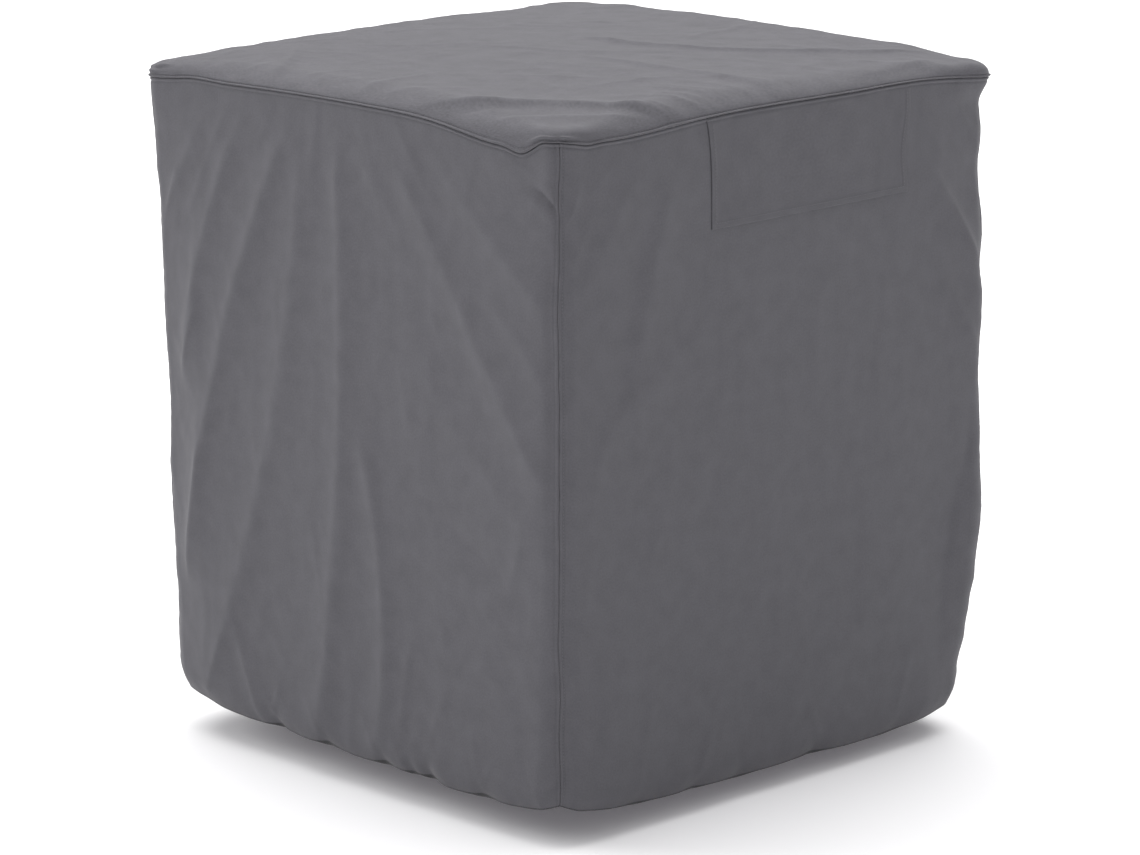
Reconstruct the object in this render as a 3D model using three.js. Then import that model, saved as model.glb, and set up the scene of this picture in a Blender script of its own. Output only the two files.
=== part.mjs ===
// A fitted cloth cover for a square outdoor air conditioner, as it hangs on the unit that it was cut for.
// Millimetres, +Z up. The origin lies under the middle of the top panel, where the unit carries the cover.
// The cover is a top panel, four side panels joined by corner seams, and a vent flap sewn into the top seam.
import * as THREE from "three";

// Driving dimensions of the cover
const WIDTH = 711; // across the cover at its top seam, the same both ways
const HALF = WIDTH / 2;
const CLOTH = 2; // thickness of a sheet
const SEAM_GAP = 0.3; // between two sheets that are sewn edge to edge
const TOP_GAP = 0.6; // between the top panel's edge and the side panels, whose curve differs a little

// The top panel: a low dome whose rim bends over the edge of the unit
const CROWN = 8; // fall from the middle of the top to the middle of a side
const RIM_WIDTH = 22; // level width of the rim's bend
const RIM_FLARE = 1; // how far the sewn edge stands out over the side panels
const RIM_SHARE = 0.2; // share of the panel's rows that the bend takes
const SEAM_MID_Z = -23; // height of the top seam at the middle of a side

// The side panels: straight above, drawn in by the gathered hem below
const TOP_RADIUS = 27; // corner radius at the top seam
const HEM_RADIUS = 70; // corner radius at the hem
const BELLY = 3; // how far the middle of a side swells at half height
const HEM_PULL = 3; // how far the gathered hem draws a side in
const PULL_START = 0.55; // share of the height at which the drawing in starts
const HEM_SAG = 19; // how much lower the hem lies at the middle of a side than at a corner
const TURN_DEPTH = 8; // how far the hem's lip turns in
const TURN_HEIGHT = 26; // height of that lip
const GATHER_HEIGHT = 70; // how far a tuck of the hem reaches up the side
const CORNER_BAND = 95; // length of side, from a corner seam, that a corner's waves move

// Folds
const CREST = 0.4; // roundness of a fold's crest, in shares of its flank
const FOLD_FADE = 60; // length over which a fold dies out past its ends
const CALM_CORNER = 45; // distance from a corner seam within which the folds flatten
const CALM_TOP = 60; // distance from the top seam within which they flatten

// The vent flap on the right side
const FLAP = {
  from: -123, // its left edge along the side
  toTop: 206, // its right edge at the seam
  toLow: 200, // its right edge at the free end
  lowLeft: -152, // height of the free edge's left end
  lowRight: -149, // height of the free edge's right end
  gap: 0.75, // between the flap and the panel at the seam
  lift: 3.5, // how much further out the free edge hangs
};

// Corners in order round the cover. seam and hem are the heights of the corner seam's two ends.
// Each wave is a height on the corner seam and how far the cloth stands out there.
const CORNERS = {
  frontLeft: {
    seam: -34,
    hem: -775,
    waves: [
      { z: -34, out: 1 },
      { z: -127, out: -4 },
      { z: -184, out: -8 },
      { z: -295, out: -10 },
      { z: -442, out: -15 },
      { z: -516, out: -10 },
      { z: -590, out: -7 },
      { z: -664, out: -2 },
      { z: -775, out: 1 },
    ],
  },
  frontRight: {
    seam: -32,
    hem: -783,
    waves: [
      { z: -32, out: -3 },
      { z: -90, out: -5 },
      { z: -250, out: 0 },
      { z: -500, out: 2 },
      { z: -783, out: 0 },
    ],
  },
  backRight: {
    seam: -31,
    hem: -789,
    waves: [
      { z: -31, out: 5 },
      { z: -62, out: -7 },
      { z: -97, out: -4 },
      { z: -140, out: -7 },
      { z: -219, out: 0 },
      { z: -256, out: -2 },
      { z: -293, out: 2 },
      { z: -385, out: -1 },
      { z: -476, out: 3 },
      { z: -560, out: 10 },
      { z: -630, out: 11 },
      { z: -760, out: 0 },
      { z: -789, out: 1 },
    ],
  },
  backLeft: {
    seam: -33,
    hem: -782,
    waves: [
      { z: -33, out: 3 },
      { z: -80, out: -1 },
      { z: -300, out: 3 },
      { z: -560, out: 6 },
      { z: -782, out: 0 },
    ],
  },
};

// Folds of a side panel, each a ridge from its top (s0, z0) through (s1, z1) to its low end (s2, z2).
// s runs along the side from its middle, to the right as seen from outside. rise is the ridge's height
// and is negative for a trough. left and right are how wide the flanks run on its two sides.
const FRONT_FOLDS = [
  { s0: -239, z0: -64, s1: -273, z1: -117, s2: -307, z2: -172, rise: 4, left: 13, right: 15 },
  { s0: -165, z0: -48, s1: -233, z1: -187, s2: -286, z2: -360, rise: 5, left: 15, right: 13 },
  { s0: -80, z0: -45, s1: -186, z1: -268, s2: -284, z2: -600, rise: 7, left: 19, right: 14 },
  { s0: -66, z0: -85, s1: -107, z1: -356, s2: -245, z2: -734, rise: 5, left: 20, right: 17 },
  { s0: -8, z0: -45, s1: 3, z1: -338, s2: -56, z2: -790, rise: 5.5, left: 19, right: 15 },
  { s0: 37, z0: -420, s1: 67, z1: -574, s2: 49, z2: -780, rise: 4.5, left: 15, right: 13 },
  { s0: 8, z0: -52, s1: 40, z1: -84, s2: 65, z2: -123, rise: 2.5, left: 10, right: 11 },
  { s0: 74, z0: -45, s1: 196, z1: -217, s2: 320, z2: -399, rise: 5, left: 19, right: 15 },
  { s0: 130, z0: -30, s1: 238, z1: -134, s2: 336, z2: -213, rise: 5, left: 17, right: 14 },
  { s0: 280, z0: -240, s1: 330, z1: -296, s2: 350, z2: -340, rise: 3, left: 13, right: 11 },
  { s0: 143, z0: -303, s1: 212, z1: -385, s2: 318, z2: -471, rise: 3, left: 24, right: 20 },
  { s0: 154, z0: -466, s1: 215, z1: -505, s2: 266, z2: -536, rise: -3, left: 16, right: 16 },
  { s0: 297, z0: -481, s1: 289, z1: -507, s2: 278, z2: -533, rise: 2.5, left: 11, right: 11 },
  { s0: -190, z0: -710, s1: -180, z1: -740, s2: -167, z2: -775, rise: 3, left: 9, right: 11 },
];
const RIGHT_FOLDS = [
  { s0: -232, z0: -65, s1: -268, z1: -119, s2: -300, z2: -173, rise: 3, left: 16, right: 18 },
  { s0: -187, z0: -100, s1: -215, z1: -185, s2: -235, z2: -276, rise: 4, left: 17, right: 20 },
  { s0: -224, z0: -143, s1: -248, z1: -239, s2: -264, z2: -320, rise: -3, left: 16, right: 16 },
  { s0: -200, z0: -300, s1: -275, z1: -358, s2: -303, z2: -426, rise: 3, left: 16, right: 20 },
  { s0: 262, z0: -150, s1: 305, z1: -210, s2: 334, z2: -256, rise: 6, left: 18, right: 10 },
  { s0: 290, z0: -290, s1: 315, z1: -325, s2: 332, z2: -355, rise: 4, left: 14, right: 10 },
  { s0: 340, z0: -440, s1: 306, z1: -515, s2: 284, z2: -670, rise: -4, left: 20, right: 13 },
  { s0: 170, z0: -625, s1: 106, z1: -682, s2: 12, z2: -740, rise: 2.5, left: 24, right: 20 },
];
const BACK_FOLDS = [
  { s0: -200, z0: -60, s1: -245, z1: -300, s2: -270, z2: -600, rise: 8, left: 25, right: 21 },
  { s0: 60, z0: -60, s1: 30, z1: -360, s2: 10, z2: -780, rise: 8, left: 28, right: 23 },
  { s0: 190, z0: -60, s1: 240, z1: -300, s2: 290, z2: -520, rise: 7, left: 23, right: 19 },
];
const LEFT_FOLDS = [
  { s0: -120, z0: -60, s1: -180, z1: -320, s2: -260, z2: -640, rise: 8, left: 25, right: 21 },
  { s0: 90, z0: -300, s1: 120, z1: -520, s2: 130, z2: -785, rise: 7, left: 23, right: 19 },
  { s0: 170, z0: -60, s1: 235, z1: -260, s2: 310, z2: -470, rise: 8, left: 22, right: 18 },
];

// Where the top seam leaves its even curve: place along the side, how far it sags, and the half width
const FRONT_SAGS = [
  { s: 270, sag: 12, half: 90 },
  { s: -262, sag: -3, half: 40 },
];
const RIGHT_SAGS = [
  { s: -262, sag: 6, half: 110 },
  { s: 225, sag: -4, half: 90 },
];

// Tucks of the gathered hem: place along the side, depth, half width, and how far the hem lifts there
const FRONT_TUCKS = [
  { s: -266, depth: 3, half: 26, lift: 1 },
  { s: -140, depth: 8, half: 16, lift: 5 },
  { s: -48, depth: 8, half: 15, lift: 6 },
  { s: 54, depth: 8, half: 13, lift: 6 },
  { s: 103, depth: 5, half: 12, lift: 3 },
  { s: 133, depth: 8, half: 13, lift: 6 },
  { s: 226, depth: 7, half: 16, lift: 5 },
];
const RIGHT_TUCKS = [
  { s: -227, depth: 3, half: 18, lift: 2 },
  { s: -135, depth: 4, half: 16, lift: 4 },
  { s: -58, depth: 2, half: 20, lift: 1 },
  { s: 70, depth: 5, half: 24, lift: 5 },
  { s: 209, depth: 3, half: 26, lift: 1 },
];
const BACK_TUCKS = [
  { s: -215, depth: 7, half: 20, lift: 3 },
  { s: -96, depth: 10, half: 16, lift: 5 },
  { s: 48, depth: 8, half: 18, lift: 4 },
  { s: 178, depth: 9, half: 17, lift: 5 },
];
const LEFT_TUCKS = [
  { s: -230, depth: 8, half: 18, lift: 4 },
  { s: -70, depth: 9, half: 17, lift: 5 },
  { s: 74, depth: 11, half: 15, lift: 5 },
  { s: 212, depth: 7, half: 20, lift: 3 },
];

// Folds of the top panel, each a ridge through three points of its plan, with left and right as seen
// from above by someone who looks along it
const TOP_FOLDS = [
  { x0: 150, y0: -350, x1: 245, y1: -296, x2: 348, y2: -226, rise: 7, left: 26, right: 9 },
  { x0: -28, y0: 68, x1: 130, y1: 118, x2: 270, y2: 290, rise: 4, left: 20, right: 11 },
  { x0: 90, y0: -30, x1: 215, y1: -24, x2: 325, y2: -14, rise: 3, left: 16, right: 12 },
  { x0: 46, y0: 163, x1: 28, y1: 225, x2: 18, y2: 285, rise: 2.5, left: 12, right: 12 },
  { x0: -133, y0: -340, x1: -188, y1: -262, x2: -235, y2: -213, rise: 3, left: 15, right: 13 },
  { x0: 20, y0: -340, x1: 22, y1: -300, x2: 23, y2: -259, rise: 2.5, left: 11, right: 11 },
  { x0: 255, y0: -345, x1: 318, y1: -318, x2: 345, y2: -255, rise: -8, left: 40, right: 40 },
  { x0: -345, y0: -300, x1: -335, y1: -335, x2: -300, y2: -345, rise: -4, left: 16, right: 16 },
];

// Sides in order round the cover, each with the quarter turns that bring it from the front to its place,
// its left and right corners as seen from outside, and the steps of its grid
const SIDES = [
  {
    name: "panel_front",
    turns: 0,
    left: CORNERS.frontLeft,
    right: CORNERS.frontRight,
    folds: FRONT_FOLDS,
    tucks: FRONT_TUCKS,
    sags: FRONT_SAGS,
    columns: 44,
    rows: 34,
  },
  {
    name: "panel_right",
    turns: 1,
    left: CORNERS.frontRight,
    right: CORNERS.backRight,
    folds: RIGHT_FOLDS,
    tucks: RIGHT_TUCKS,
    sags: RIGHT_SAGS,
    columns: 26,
    rows: 19,
  },
  {
    name: "panel_back",
    turns: 2,
    left: CORNERS.backRight,
    right: CORNERS.backLeft,
    folds: BACK_FOLDS,
    tucks: BACK_TUCKS,
    sags: [],
    columns: 20,
    rows: 16,
  },
  {
    name: "panel_left",
    turns: 3,
    left: CORNERS.backLeft,
    right: CORNERS.frontLeft,
    folds: LEFT_FOLDS,
    tucks: LEFT_TUCKS,
    sags: [],
    columns: 20,
    rows: 16,
  },
];
const TOP_STEPS = 28;
const FLAP_COLUMNS = 10;
const FLAP_ROWS = 5;
const CROWD_CORNERS = 0.25; // how much the steps of a side crowd towards its corners
const CROWD_EDGES = 0.4; // and towards its top seam and its hem

const { lerp, smoothstep } = THREE.MathUtils;
const clamp01 = (x) => THREE.MathUtils.clamp(x, 0, 1);

// Material of every sheet: plain grey woven polyester
const cloth = (name) =>
  new THREE.MeshStandardMaterial({ name, color: 0x66656a, roughness: 0.85, metalness: 0 });

// Half the length of a side between its corner seams, along the cloth
const halfLength = (half, radius) => half - radius + (radius * Math.PI) / 4;

// Point and outward direction on one side of a rounded square, at a distance s along it from its middle.
// x runs along the side and y away from the centre.
function roundedSide(s, half, radius) {
  const straight = half - radius;
  const angle = Math.max(Math.abs(s) - straight, 0) / radius;
  const sign = Math.sign(s);
  return {
    x: sign * (Math.min(Math.abs(s), straight) + radius * Math.sin(angle)),
    y: straight + radius * Math.cos(angle),
    nx: sign * Math.sin(angle),
    ny: Math.cos(angle),
  };
}

// A soft bump of height 1 at d = 0
const bump = (d, half) => Math.exp(-((d / half) ** 2));

// Height of a fold at a distance d to the right of its crest
const profile = (fold, d) =>
  fold.rise * Math.exp(CREST - Math.hypot(d / (d < 0 ? fold.left : fold.right), CREST));

// Value at q of the parabola through three points (q0, a0), (q1, a1) and (q2, a2), and its slope
function parabola(q, [q0, a0], [q1, a1], [q2, a2]) {
  const low = (a1 - a0) / (q1 - q0);
  const high = (a2 - a1) / (q2 - q1);
  const bend = (high - low) / (q2 - q0);
  return {
    value: a0 + (q - q0) * (low + bend * (q - q1)),
    slope: low + bend * (2 * q - q0 - q1),
  };
}

// How much of a fold is left at q, which runs from its first end to its last
const fade = (q, first, last) =>
  smoothstep(q, first - FOLD_FADE, first + FOLD_FADE / 2) *
  (1 - smoothstep(q, last - FOLD_FADE / 2, last + FOLD_FADE));

// Relief of a side panel's folds at (s, z), outwards
function foldRelief(folds, s, z) {
  let out = 0;
  for (const f of folds) {
    const path = parabola(-z, [-f.z0, f.s0], [-f.z1, f.s1], [-f.z2, f.s2]);
    const distance = (s - path.value) / Math.hypot(1, path.slope);
    out += profile(f, distance) * fade(-z, -f.z0, -f.z2);
  }
  return out;
}

// Value at z of a corner's waves, joined by smooth steps
function waveAt(waves, z) {
  const next = waves.findIndex((w) => w.z <= z);
  if (next === 0) return waves[0].out;
  if (next < 0) return waves[waves.length - 1].out;
  const above = waves[next - 1];
  const below = waves[next];
  return lerp(above.out, below.out, smoothstep(-z, -above.z, -below.z));
}

// Height of the top seam on a side, at t from -1 at its left corner to 1 at its right
function seamZ(side, t) {
  const corner = t < 0 ? side.left.seam : side.right.seam;
  const sag = side.sags.reduce((sum, k) => sum + bump(t * HALF - k.s, k.half) * k.sag, 0);
  return lerp(SEAM_MID_Z, corner, t * t) - sag * (1 - t ** 12);
}

// Height of the hem on a side, at t as above
function hemZ(side, t) {
  const straight = lerp(side.left.hem, side.right.hem, (t + 1) / 2);
  const lift = side.tucks.reduce((sum, k) => sum + bump(t * HALF - k.s, k.half) * k.lift, 0);
  return straight - HEM_SAG * (1 - Math.abs(t) ** 3) + lift;
}

// Outward relief of a side's cloth, apart from its corner waves: folds and the tucks of the hem
function sideRelief(side, s, z, toHem) {
  const tucked = side.tucks.reduce((sum, k) => sum + bump(s - k.s, k.half) * k.depth, 0);
  return foldRelief(side.folds, s, z) - tucked * Math.exp(-toHem / GATHER_HEIGHT);
}

// Point of a side's cloth at t along it and v down it, moved outwards by out, in the front side's place
function sidePoint(side, t, v, out) {
  const top = seamZ(side, t);
  const z = lerp(top, hemZ(side, t), v);
  const toHem = z - hemZ(side, t);
  const pull = smoothstep(v, PULL_START, 1);
  const half = HALF - HEM_PULL * pull;
  const radius = lerp(TOP_RADIUS, HEM_RADIUS, pull);
  const length = halfLength(half, radius);
  const s = t * length;
  const base = roundedSide(s, half, radius);

  const corner = t < 0 ? side.left : side.right;
  const toCorner = clamp01((length - Math.abs(s)) / CORNER_BAND);
  const nearCorner = (1 - toCorner) ** 2 * (1 + 2 * toCorner);
  const calm = smoothstep(length - Math.abs(s), 0, CALM_CORNER) * smoothstep(top - z, 0, CALM_TOP);
  const folds = sideRelief(side, s, z, toHem) * calm;
  const belly = BELLY * Math.sin(Math.PI * clamp01(v)) * (1 - t * t);
  const lip = TURN_DEPTH * Math.max(0, 1 - toHem / TURN_HEIGHT) ** 2;
  const relief = folds + belly + waveAt(corner.waves, z) * nearCorner - lip + out;
  return new THREE.Vector3(base.x + base.nx * relief, -(base.y + base.ny * relief), z);
}

// A thin closed sheet of columns by rows. place(a, b, inner) gives the point at a across and b down,
// both from 0 to 1, on the outer face or on the inner one.
function sheetGeometry(columns, rows, place) {
  const sheet = new THREE.BoxGeometry(1, 1, 1, columns, rows, 1);
  const at = sheet.getAttribute("position");
  for (let i = 0; i < at.count; i += 1) {
    const point = place(at.getX(i) + 0.5, 0.5 - at.getY(i), at.getZ(i) < 0);
    at.setXYZ(i, point.x, point.y, point.z);
  }
  splitAlongFolds(sheet);
  sheet.deleteAttribute("normal");
  sheet.deleteAttribute("uv");
  sheet.computeVertexNormals();
  return sheet;
}

// Splits each four-sided face along its shorter diagonal, which is the one that runs with a fold
function splitAlongFolds(sheet) {
  const at = sheet.getAttribute("position");
  const index = sheet.getIndex();
  const corner = (i) => new THREE.Vector3().fromBufferAttribute(at, i);
  for (let i = 0; i < index.count; i += 6) {
    const [a, b, d, , c] = index.array.slice(i, i + 6);
    if (corner(a).distanceTo(corner(c)) < corner(b).distanceTo(corner(d))) {
      index.array.set([a, b, c, a, c, d], i);
    }
  }
}

// Places from -1 to 1 along a side, closer together towards its corners
const crowdEnds = (a) => lerp(2 * a - 1, (2 * a - 1) ** 3, -CROWD_CORNERS);

// Places from 0 to 1 down a side, closer together towards the top seam and the hem
const crowdEdges = (b) => b - (CROWD_EDGES * Math.sin(2 * Math.PI * b)) / (2 * Math.PI);

function sidePanel(side) {
  const reach = 1 - SEAM_GAP / 2 / halfLength(HALF, TOP_RADIUS);
  const start = TOP_GAP / 2 / -side.left.hem;
  return sheetGeometry(side.columns, side.rows, (a, b, inner) =>
    sidePoint(side, reach * crowdEnds(a), lerp(start, 1, crowdEdges(b)), inner ? -CLOTH : 0),
  );
}

// The flap hangs over the right side's cloth, a little further out towards its free lower edge
function ventFlap(side) {
  const length = halfLength(HALF, TOP_RADIUS);
  return sheetGeometry(FLAP_COLUMNS, FLAP_ROWS, (a, b, inner) => {
    const t = lerp(FLAP.from, lerp(FLAP.toTop, FLAP.toLow, b), a) / length;
    const top = seamZ(side, t);
    const z = lerp(top - TOP_GAP, lerp(FLAP.lowLeft, FLAP.lowRight, a), b);
    const v = (top - z) / (top - hemZ(side, t));
    const away = FLAP.gap + FLAP.lift * b * b;
    return sidePoint(side, t, v, inner ? away : away + CLOTH);
  });
}

// Relief of the top panel's folds at (x, y), upwards
function topRelief(x, y) {
  let up = 0;
  for (const f of TOP_FOLDS) {
    const ends = new THREE.Vector2(f.x2 - f.x0, f.y2 - f.y0);
    const length = ends.length();
    const along = ends.normalize();
    const local = (px, py) => {
      const dx = px - f.x0;
      const dy = py - f.y0;
      return [dx * along.x + dy * along.y, dx * along.y - dy * along.x];
    };
    const [q, d] = local(x, y);
    const path = parabola(q, [0, 0], local(f.x1, f.y1), [length, 0]);
    const distance = (d - path.value) / Math.hypot(1, path.slope);
    up += profile(f, distance) * fade(q, 0, length);
  }
  return up;
}

// Outer height of the dome at (x, y), with its folds
const domeZ = (x, y) => CLOTH - (CROWN * (x * x + y * y)) / (HALF * HALF) + topRelief(x, y);

// Point of the top panel. Its grid is a nest of rounded squares: ring is 0 at the middle and 1 at the
// seam, t runs along a side as on the side panels, and the result lies in the front side's place.
function topPoint(side, t, ring, inner) {
  const flat = 1 - RIM_SHARE;
  const bend = (Math.max(0, ring - flat) / RIM_SHARE) * (Math.PI / 2);
  const level = HALF - RIM_WIDTH;
  const half = ring < flat ? (level * ring) / flat : level + (RIM_WIDTH + RIM_FLARE) * Math.sin(bend);
  const radius = TOP_RADIUS * (half / HALF);
  const base = roundedSide(t * halfLength(half, radius), half, radius);
  const corner = t < 0 ? side.left : side.right;
  const nearCorner = smoothstep(Math.abs(t), 1 - CORNER_BAND / HALF, 1) ** 2;
  const bulge = corner.waves[0].out * nearCorner * Math.sin(bend);
  const thick = inner ? CLOTH : 0;
  const out = bulge - thick * Math.sin(bend);
  const x = base.x + base.nx * out;
  const y = -(base.y + base.ny * out);
  const [wx, wy] = turned(x, y, side.turns);
  const dome = domeZ(wx, wy);
  const seam = seamZ(side, t) + TOP_GAP / 2;
  const z = lerp(dome, seam, 1 - Math.cos(bend)) - thick * Math.cos(bend);
  return new THREE.Vector3(x, y, z);
}

// (x, y) after a number of quarter turns about +Z
function turned(x, y, turns) {
  const quarter = [
    [x, y],
    [-y, x],
    [-x, -y],
    [y, -x],
  ];
  return quarter[turns];
}

// The top panel's square grid: each point lies on a ring and belongs to the nearest side
function topPanel() {
  return sheetGeometry(TOP_STEPS, TOP_STEPS, (a, b, inner) => {
    const x = 2 * a - 1;
    const y = 1 - 2 * b;
    const ring = Math.max(Math.abs(x), Math.abs(y));
    if (ring < 1e-9) return new THREE.Vector3(0, 0, domeZ(0, 0) - (inner ? CLOTH : 0));
    let turns = 0;
    if (Math.abs(y) < ring) turns = x > 0 ? 1 : 3;
    else if (y > 0) turns = 2;
    const [lx] = turned(x, y, (4 - turns) % 4);
    const point = topPoint(SIDES[turns], crowdEnds((lx / ring + 1) / 2), ring, inner);
    const [px, py] = turned(point.x, point.y, turns);
    return new THREE.Vector3(px, py, point.z);
  });
}

function buildCover() {
  const cover = new THREE.Group();
  cover.name = "air_conditioner_cover";

  const top = new THREE.Mesh(topPanel(), cloth("cloth_top"));
  top.name = "panel_top";
  cover.add(top);

  for (const side of SIDES) {
    const place = new THREE.Group();
    place.rotation.z = (side.turns * Math.PI) / 2;
    const panel = new THREE.Mesh(sidePanel(side), cloth("cloth_side"));
    panel.name = side.name;
    place.add(panel);
    if (side.name === "panel_right") {
      const flap = new THREE.Mesh(ventFlap(side), cloth("cloth_flap"));
      flap.name = "vent_flap";
      place.add(flap);
    }
    cover.add(place);
  }
  return cover;
}

export default buildCover();
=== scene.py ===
"""The looks of a fitted cloth cover for a square outdoor air conditioner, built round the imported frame.

The tables and sizes of the cover are in millimetres, as on its cutting plan, and MM brings them to metres.
"""

import logging
import math
from dataclasses import dataclass, field
from enum import Enum
from typing import Callable, Iterator, TypeVar

import bmesh
import bpy
from mathutils import Euler, Matrix, Vector, noise


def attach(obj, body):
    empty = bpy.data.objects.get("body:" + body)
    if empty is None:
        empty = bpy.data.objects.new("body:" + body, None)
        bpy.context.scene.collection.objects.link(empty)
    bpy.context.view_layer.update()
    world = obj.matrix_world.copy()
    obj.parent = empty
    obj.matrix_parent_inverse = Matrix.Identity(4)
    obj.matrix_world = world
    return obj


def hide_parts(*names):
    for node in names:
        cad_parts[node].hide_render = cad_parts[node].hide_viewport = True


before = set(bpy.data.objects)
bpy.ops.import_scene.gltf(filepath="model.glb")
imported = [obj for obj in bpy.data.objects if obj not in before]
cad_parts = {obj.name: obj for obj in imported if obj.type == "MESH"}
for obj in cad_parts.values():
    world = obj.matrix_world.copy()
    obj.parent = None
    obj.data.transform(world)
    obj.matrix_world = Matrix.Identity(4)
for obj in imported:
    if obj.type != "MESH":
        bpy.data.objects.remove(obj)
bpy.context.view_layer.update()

log = logging.getLogger("cover")

Row = TypeVar("Row")

MM = 0.001

# The cover's own sizes, the same as the solids'
WIDTH = 711.0
HALF = WIDTH / 2
CROWN = 7.0
CLOTH_TOP = 2.0
RIM_WIDTH = 22.0
SLACK_WIDTH = 42.0
RIM_FLARE = 1.0
SEAM_MID_Z = -23.0
TOP_RADIUS = 27.0
HEM_RADIUS = 44.0
BELLY = 3.0
HEM_PULL = 3.0
PULL_START = 0.55
HEM_SAG = 20.5
HEM_FLATNESS = 4.5
TURN_DEPTH = 8.0
TURN_HEIGHT = 26.0
GATHER_HEIGHT = 24.0
CORNER_BAND = 95.0
SEAM_FADE = 12

# Folds: roundness of a crest in shares of its flank, the length over which an end dies out, and calm edges
CREST = 0.4
FOLD_FADE = 60.0
CREASE_FADE = 26.0
CREASE_CREST = 0.3
GATHER_FADE = 28.0
GATHER_CREST = 0.2
FAR_FLANKS = 7.0
CALM_CORNER = 30.0
CALM_TOP = 105.0
CREASE_CALM = 9.0

# Seams: the edge that turns in, the roll beside it, and the stitched line behind the roll
EDGE_TURN = 0.6
EDGE_TURN_WIDTH = 0.6
ROLL_AT = 2.2
ROLL_HALF = 1.2
STITCH_AT = 4.8
STITCH_HALF = 1.1
STITCH_DIP = 0.75
RIM_DROP = 28.0
RIM_SLACK = 1.2
RIM_FULLNESS = 0.72
RIM_FULL_FROM = 0.58
RIM_FULL_AT = 0.95
SEAM_WANDER = 1.1
SEAM_WANDER_LENGTH = 48.0
SEAM_WANDER_PLACE = 0.5

# Puckers beside the seams: how far they reach, and a pattern of its own for each kind of seam
PUCKER_REACH = 70.0
PUCKER_CORNER = 40.0
PUCKER_CORNER_LEFT = 40.5
PUCKER_TOP = 60.0
PUCKER_RIM = 90.0

# The cloth's unevenness: strength of the swells, sharpness of the lines, and step of the sides' patterns
WRINKLE_GAIN = 1.4
CRUMPLE_SHARPNESS = 3
PATTERN_STEP = 10.0

# The real cloth, the number of sides that show, and the grids that the sheets are cut into
SHEET = 0.7
SHOWN_SIDES = 2
SIDE_COLUMNS = 204
SIDE_ROWS = 214
HIDDEN_COLUMNS = 150
HIDDEN_ROWS = 160
TOP_STEPS = 220
RIM_STEPS = 30
RIM_CROWD = 2.1
HEM_ROWS = 9
FINEST = 0.6
GROWN_SHARE = 0.2
CROWD_CORNERS = 0.25
CUT_MAP = "cut"
CUT_HEM_STEP = 0.003
CUT_HEM = 0.78

# The hem's casing, which turns under the edge and is sewn down inside
CASING_RADIUS = 2.2
CASING_TURN_SHARE = 0.5
CASING_HEIGHT = 16.0
LIP_INWARD = 1.8
LIP_TURN = 0.8
NOTCH_LENGTH = 1.7
NOTCH_POINT = 0.12

# The flap's edges
EDGE_ROUND = 0.75
FLAP_WAVE = 2.6
FLAP_WAVE_TURNS = 2.4
FLAP_WAVE_FROM = 0.85
FLAP_CROWD = 0.7
FLAP_CALM = 0.3
FLAP_HEM_STEP = 1.5
FLAP_SEAM = 4.0

# Stitches: the gap's share at both ends, where a corner's row starts and ends, and the flap's rows
STITCH_INSET = 0.12
STITCH_FROM = 0.008
STITCH_TO = 0.985
FLAP_STITCH_FROM = 0.08
FLAP_STITCH_INSET = 2.5
FLAP_STITCH_DOWN = 0.75
FLAP_STITCH_ACROSS = 0.95

# The photograph's width and the camera's focal length in its pixels, and the camera's film in millimetres
PHOTO_WIDTH = 1140
PHOTO_FOCAL = 4500
FILM = 36.0


class Slot(Enum):
    """The record's material slots."""

    TOP = "cloth_top"
    SIDE = "cloth_side"
    FLAP = "cloth_flap"


def table(make: Callable[..., Row], columns: str, *rows: tuple[object, ...]) -> tuple[Row, ...]:
    """Makes one part from each row of a table.

    Args:
        make: The parts' class or function.
        columns: The names of a row's cells, in order. A row may leave out the last of them.
        rows: The table's rows.

    Returns:
        The parts, in the rows' order.
    """
    return tuple(make(**dict(zip(columns.split(), row))) for row in rows)


def lerp(a: float, b: float, share: float) -> float:
    """The value at a share of the way from a to b."""
    return a + (b - a) * share


def clamp01(value: float) -> float:
    """The value, kept from 0 to 1."""
    return min(1.0, max(0.0, value))


def smoothstep(value: float, low: float, high: float) -> float:
    """0 below low and 1 above high, with a smooth step between them."""
    share = clamp01((value - low) / (high - low))
    return share * share * (3 - 2 * share)


def bump(distance: float, half: float) -> float:
    """A soft bump of height 1 at distance 0."""
    return math.exp(-((distance / half) ** 2))


def notch(distance: float, half: float) -> float:
    """A sharp notch of height 1 at distance 0."""
    return math.exp(-math.hypot(distance, half * NOTCH_POINT) / half)


def half_length(half: float, radius: float) -> float:
    """Half the length of a side between its corner seams, along the cloth."""
    return half - radius + radius * math.pi / 4


def rounded_side(s: float, half: float, radius: float) -> tuple[float, float, float, float]:
    """Point and outward direction on one side of a rounded square.

    Args:
        s: Distance along the side from its middle.
        half: Half the width of the square.
        radius: Radius of its corners.

    Returns:
        x along the side and y away from the centre, then the direction's x and y.
    """
    straight = half - radius
    angle = max(abs(s) - straight, 0.0) / radius
    sign = math.copysign(1.0, s)
    x = sign * (min(abs(s), straight) + radius * math.sin(angle))
    return x, straight + radius * math.cos(angle), sign * math.sin(angle), math.cos(angle)


def turned(x: float, y: float, turns: int) -> tuple[float, float]:
    """(x, y) after a number of quarter turns about +Z."""
    return ((x, y), (-y, x), (-x, -y), (y, -x))[turns % 4]


def seam_relief(distance: float, roll: float) -> float:
    """Relief of the cloth beside a seam.

    Args:
        distance: Distance from the seam along the cloth.
        roll: Height of the roll next to the seam.

    Returns:
        The relief: the edge turned in, the roll, and the dip that the stitches pull.
    """
    turn = EDGE_TURN * max(0.0, 1 - distance / EDGE_TURN_WIDTH) ** 2
    dip = STITCH_DIP * bump(distance - STITCH_AT, STITCH_HALF)
    return roll * bump(distance - ROLL_AT, ROLL_HALF) - turn - dip


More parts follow.
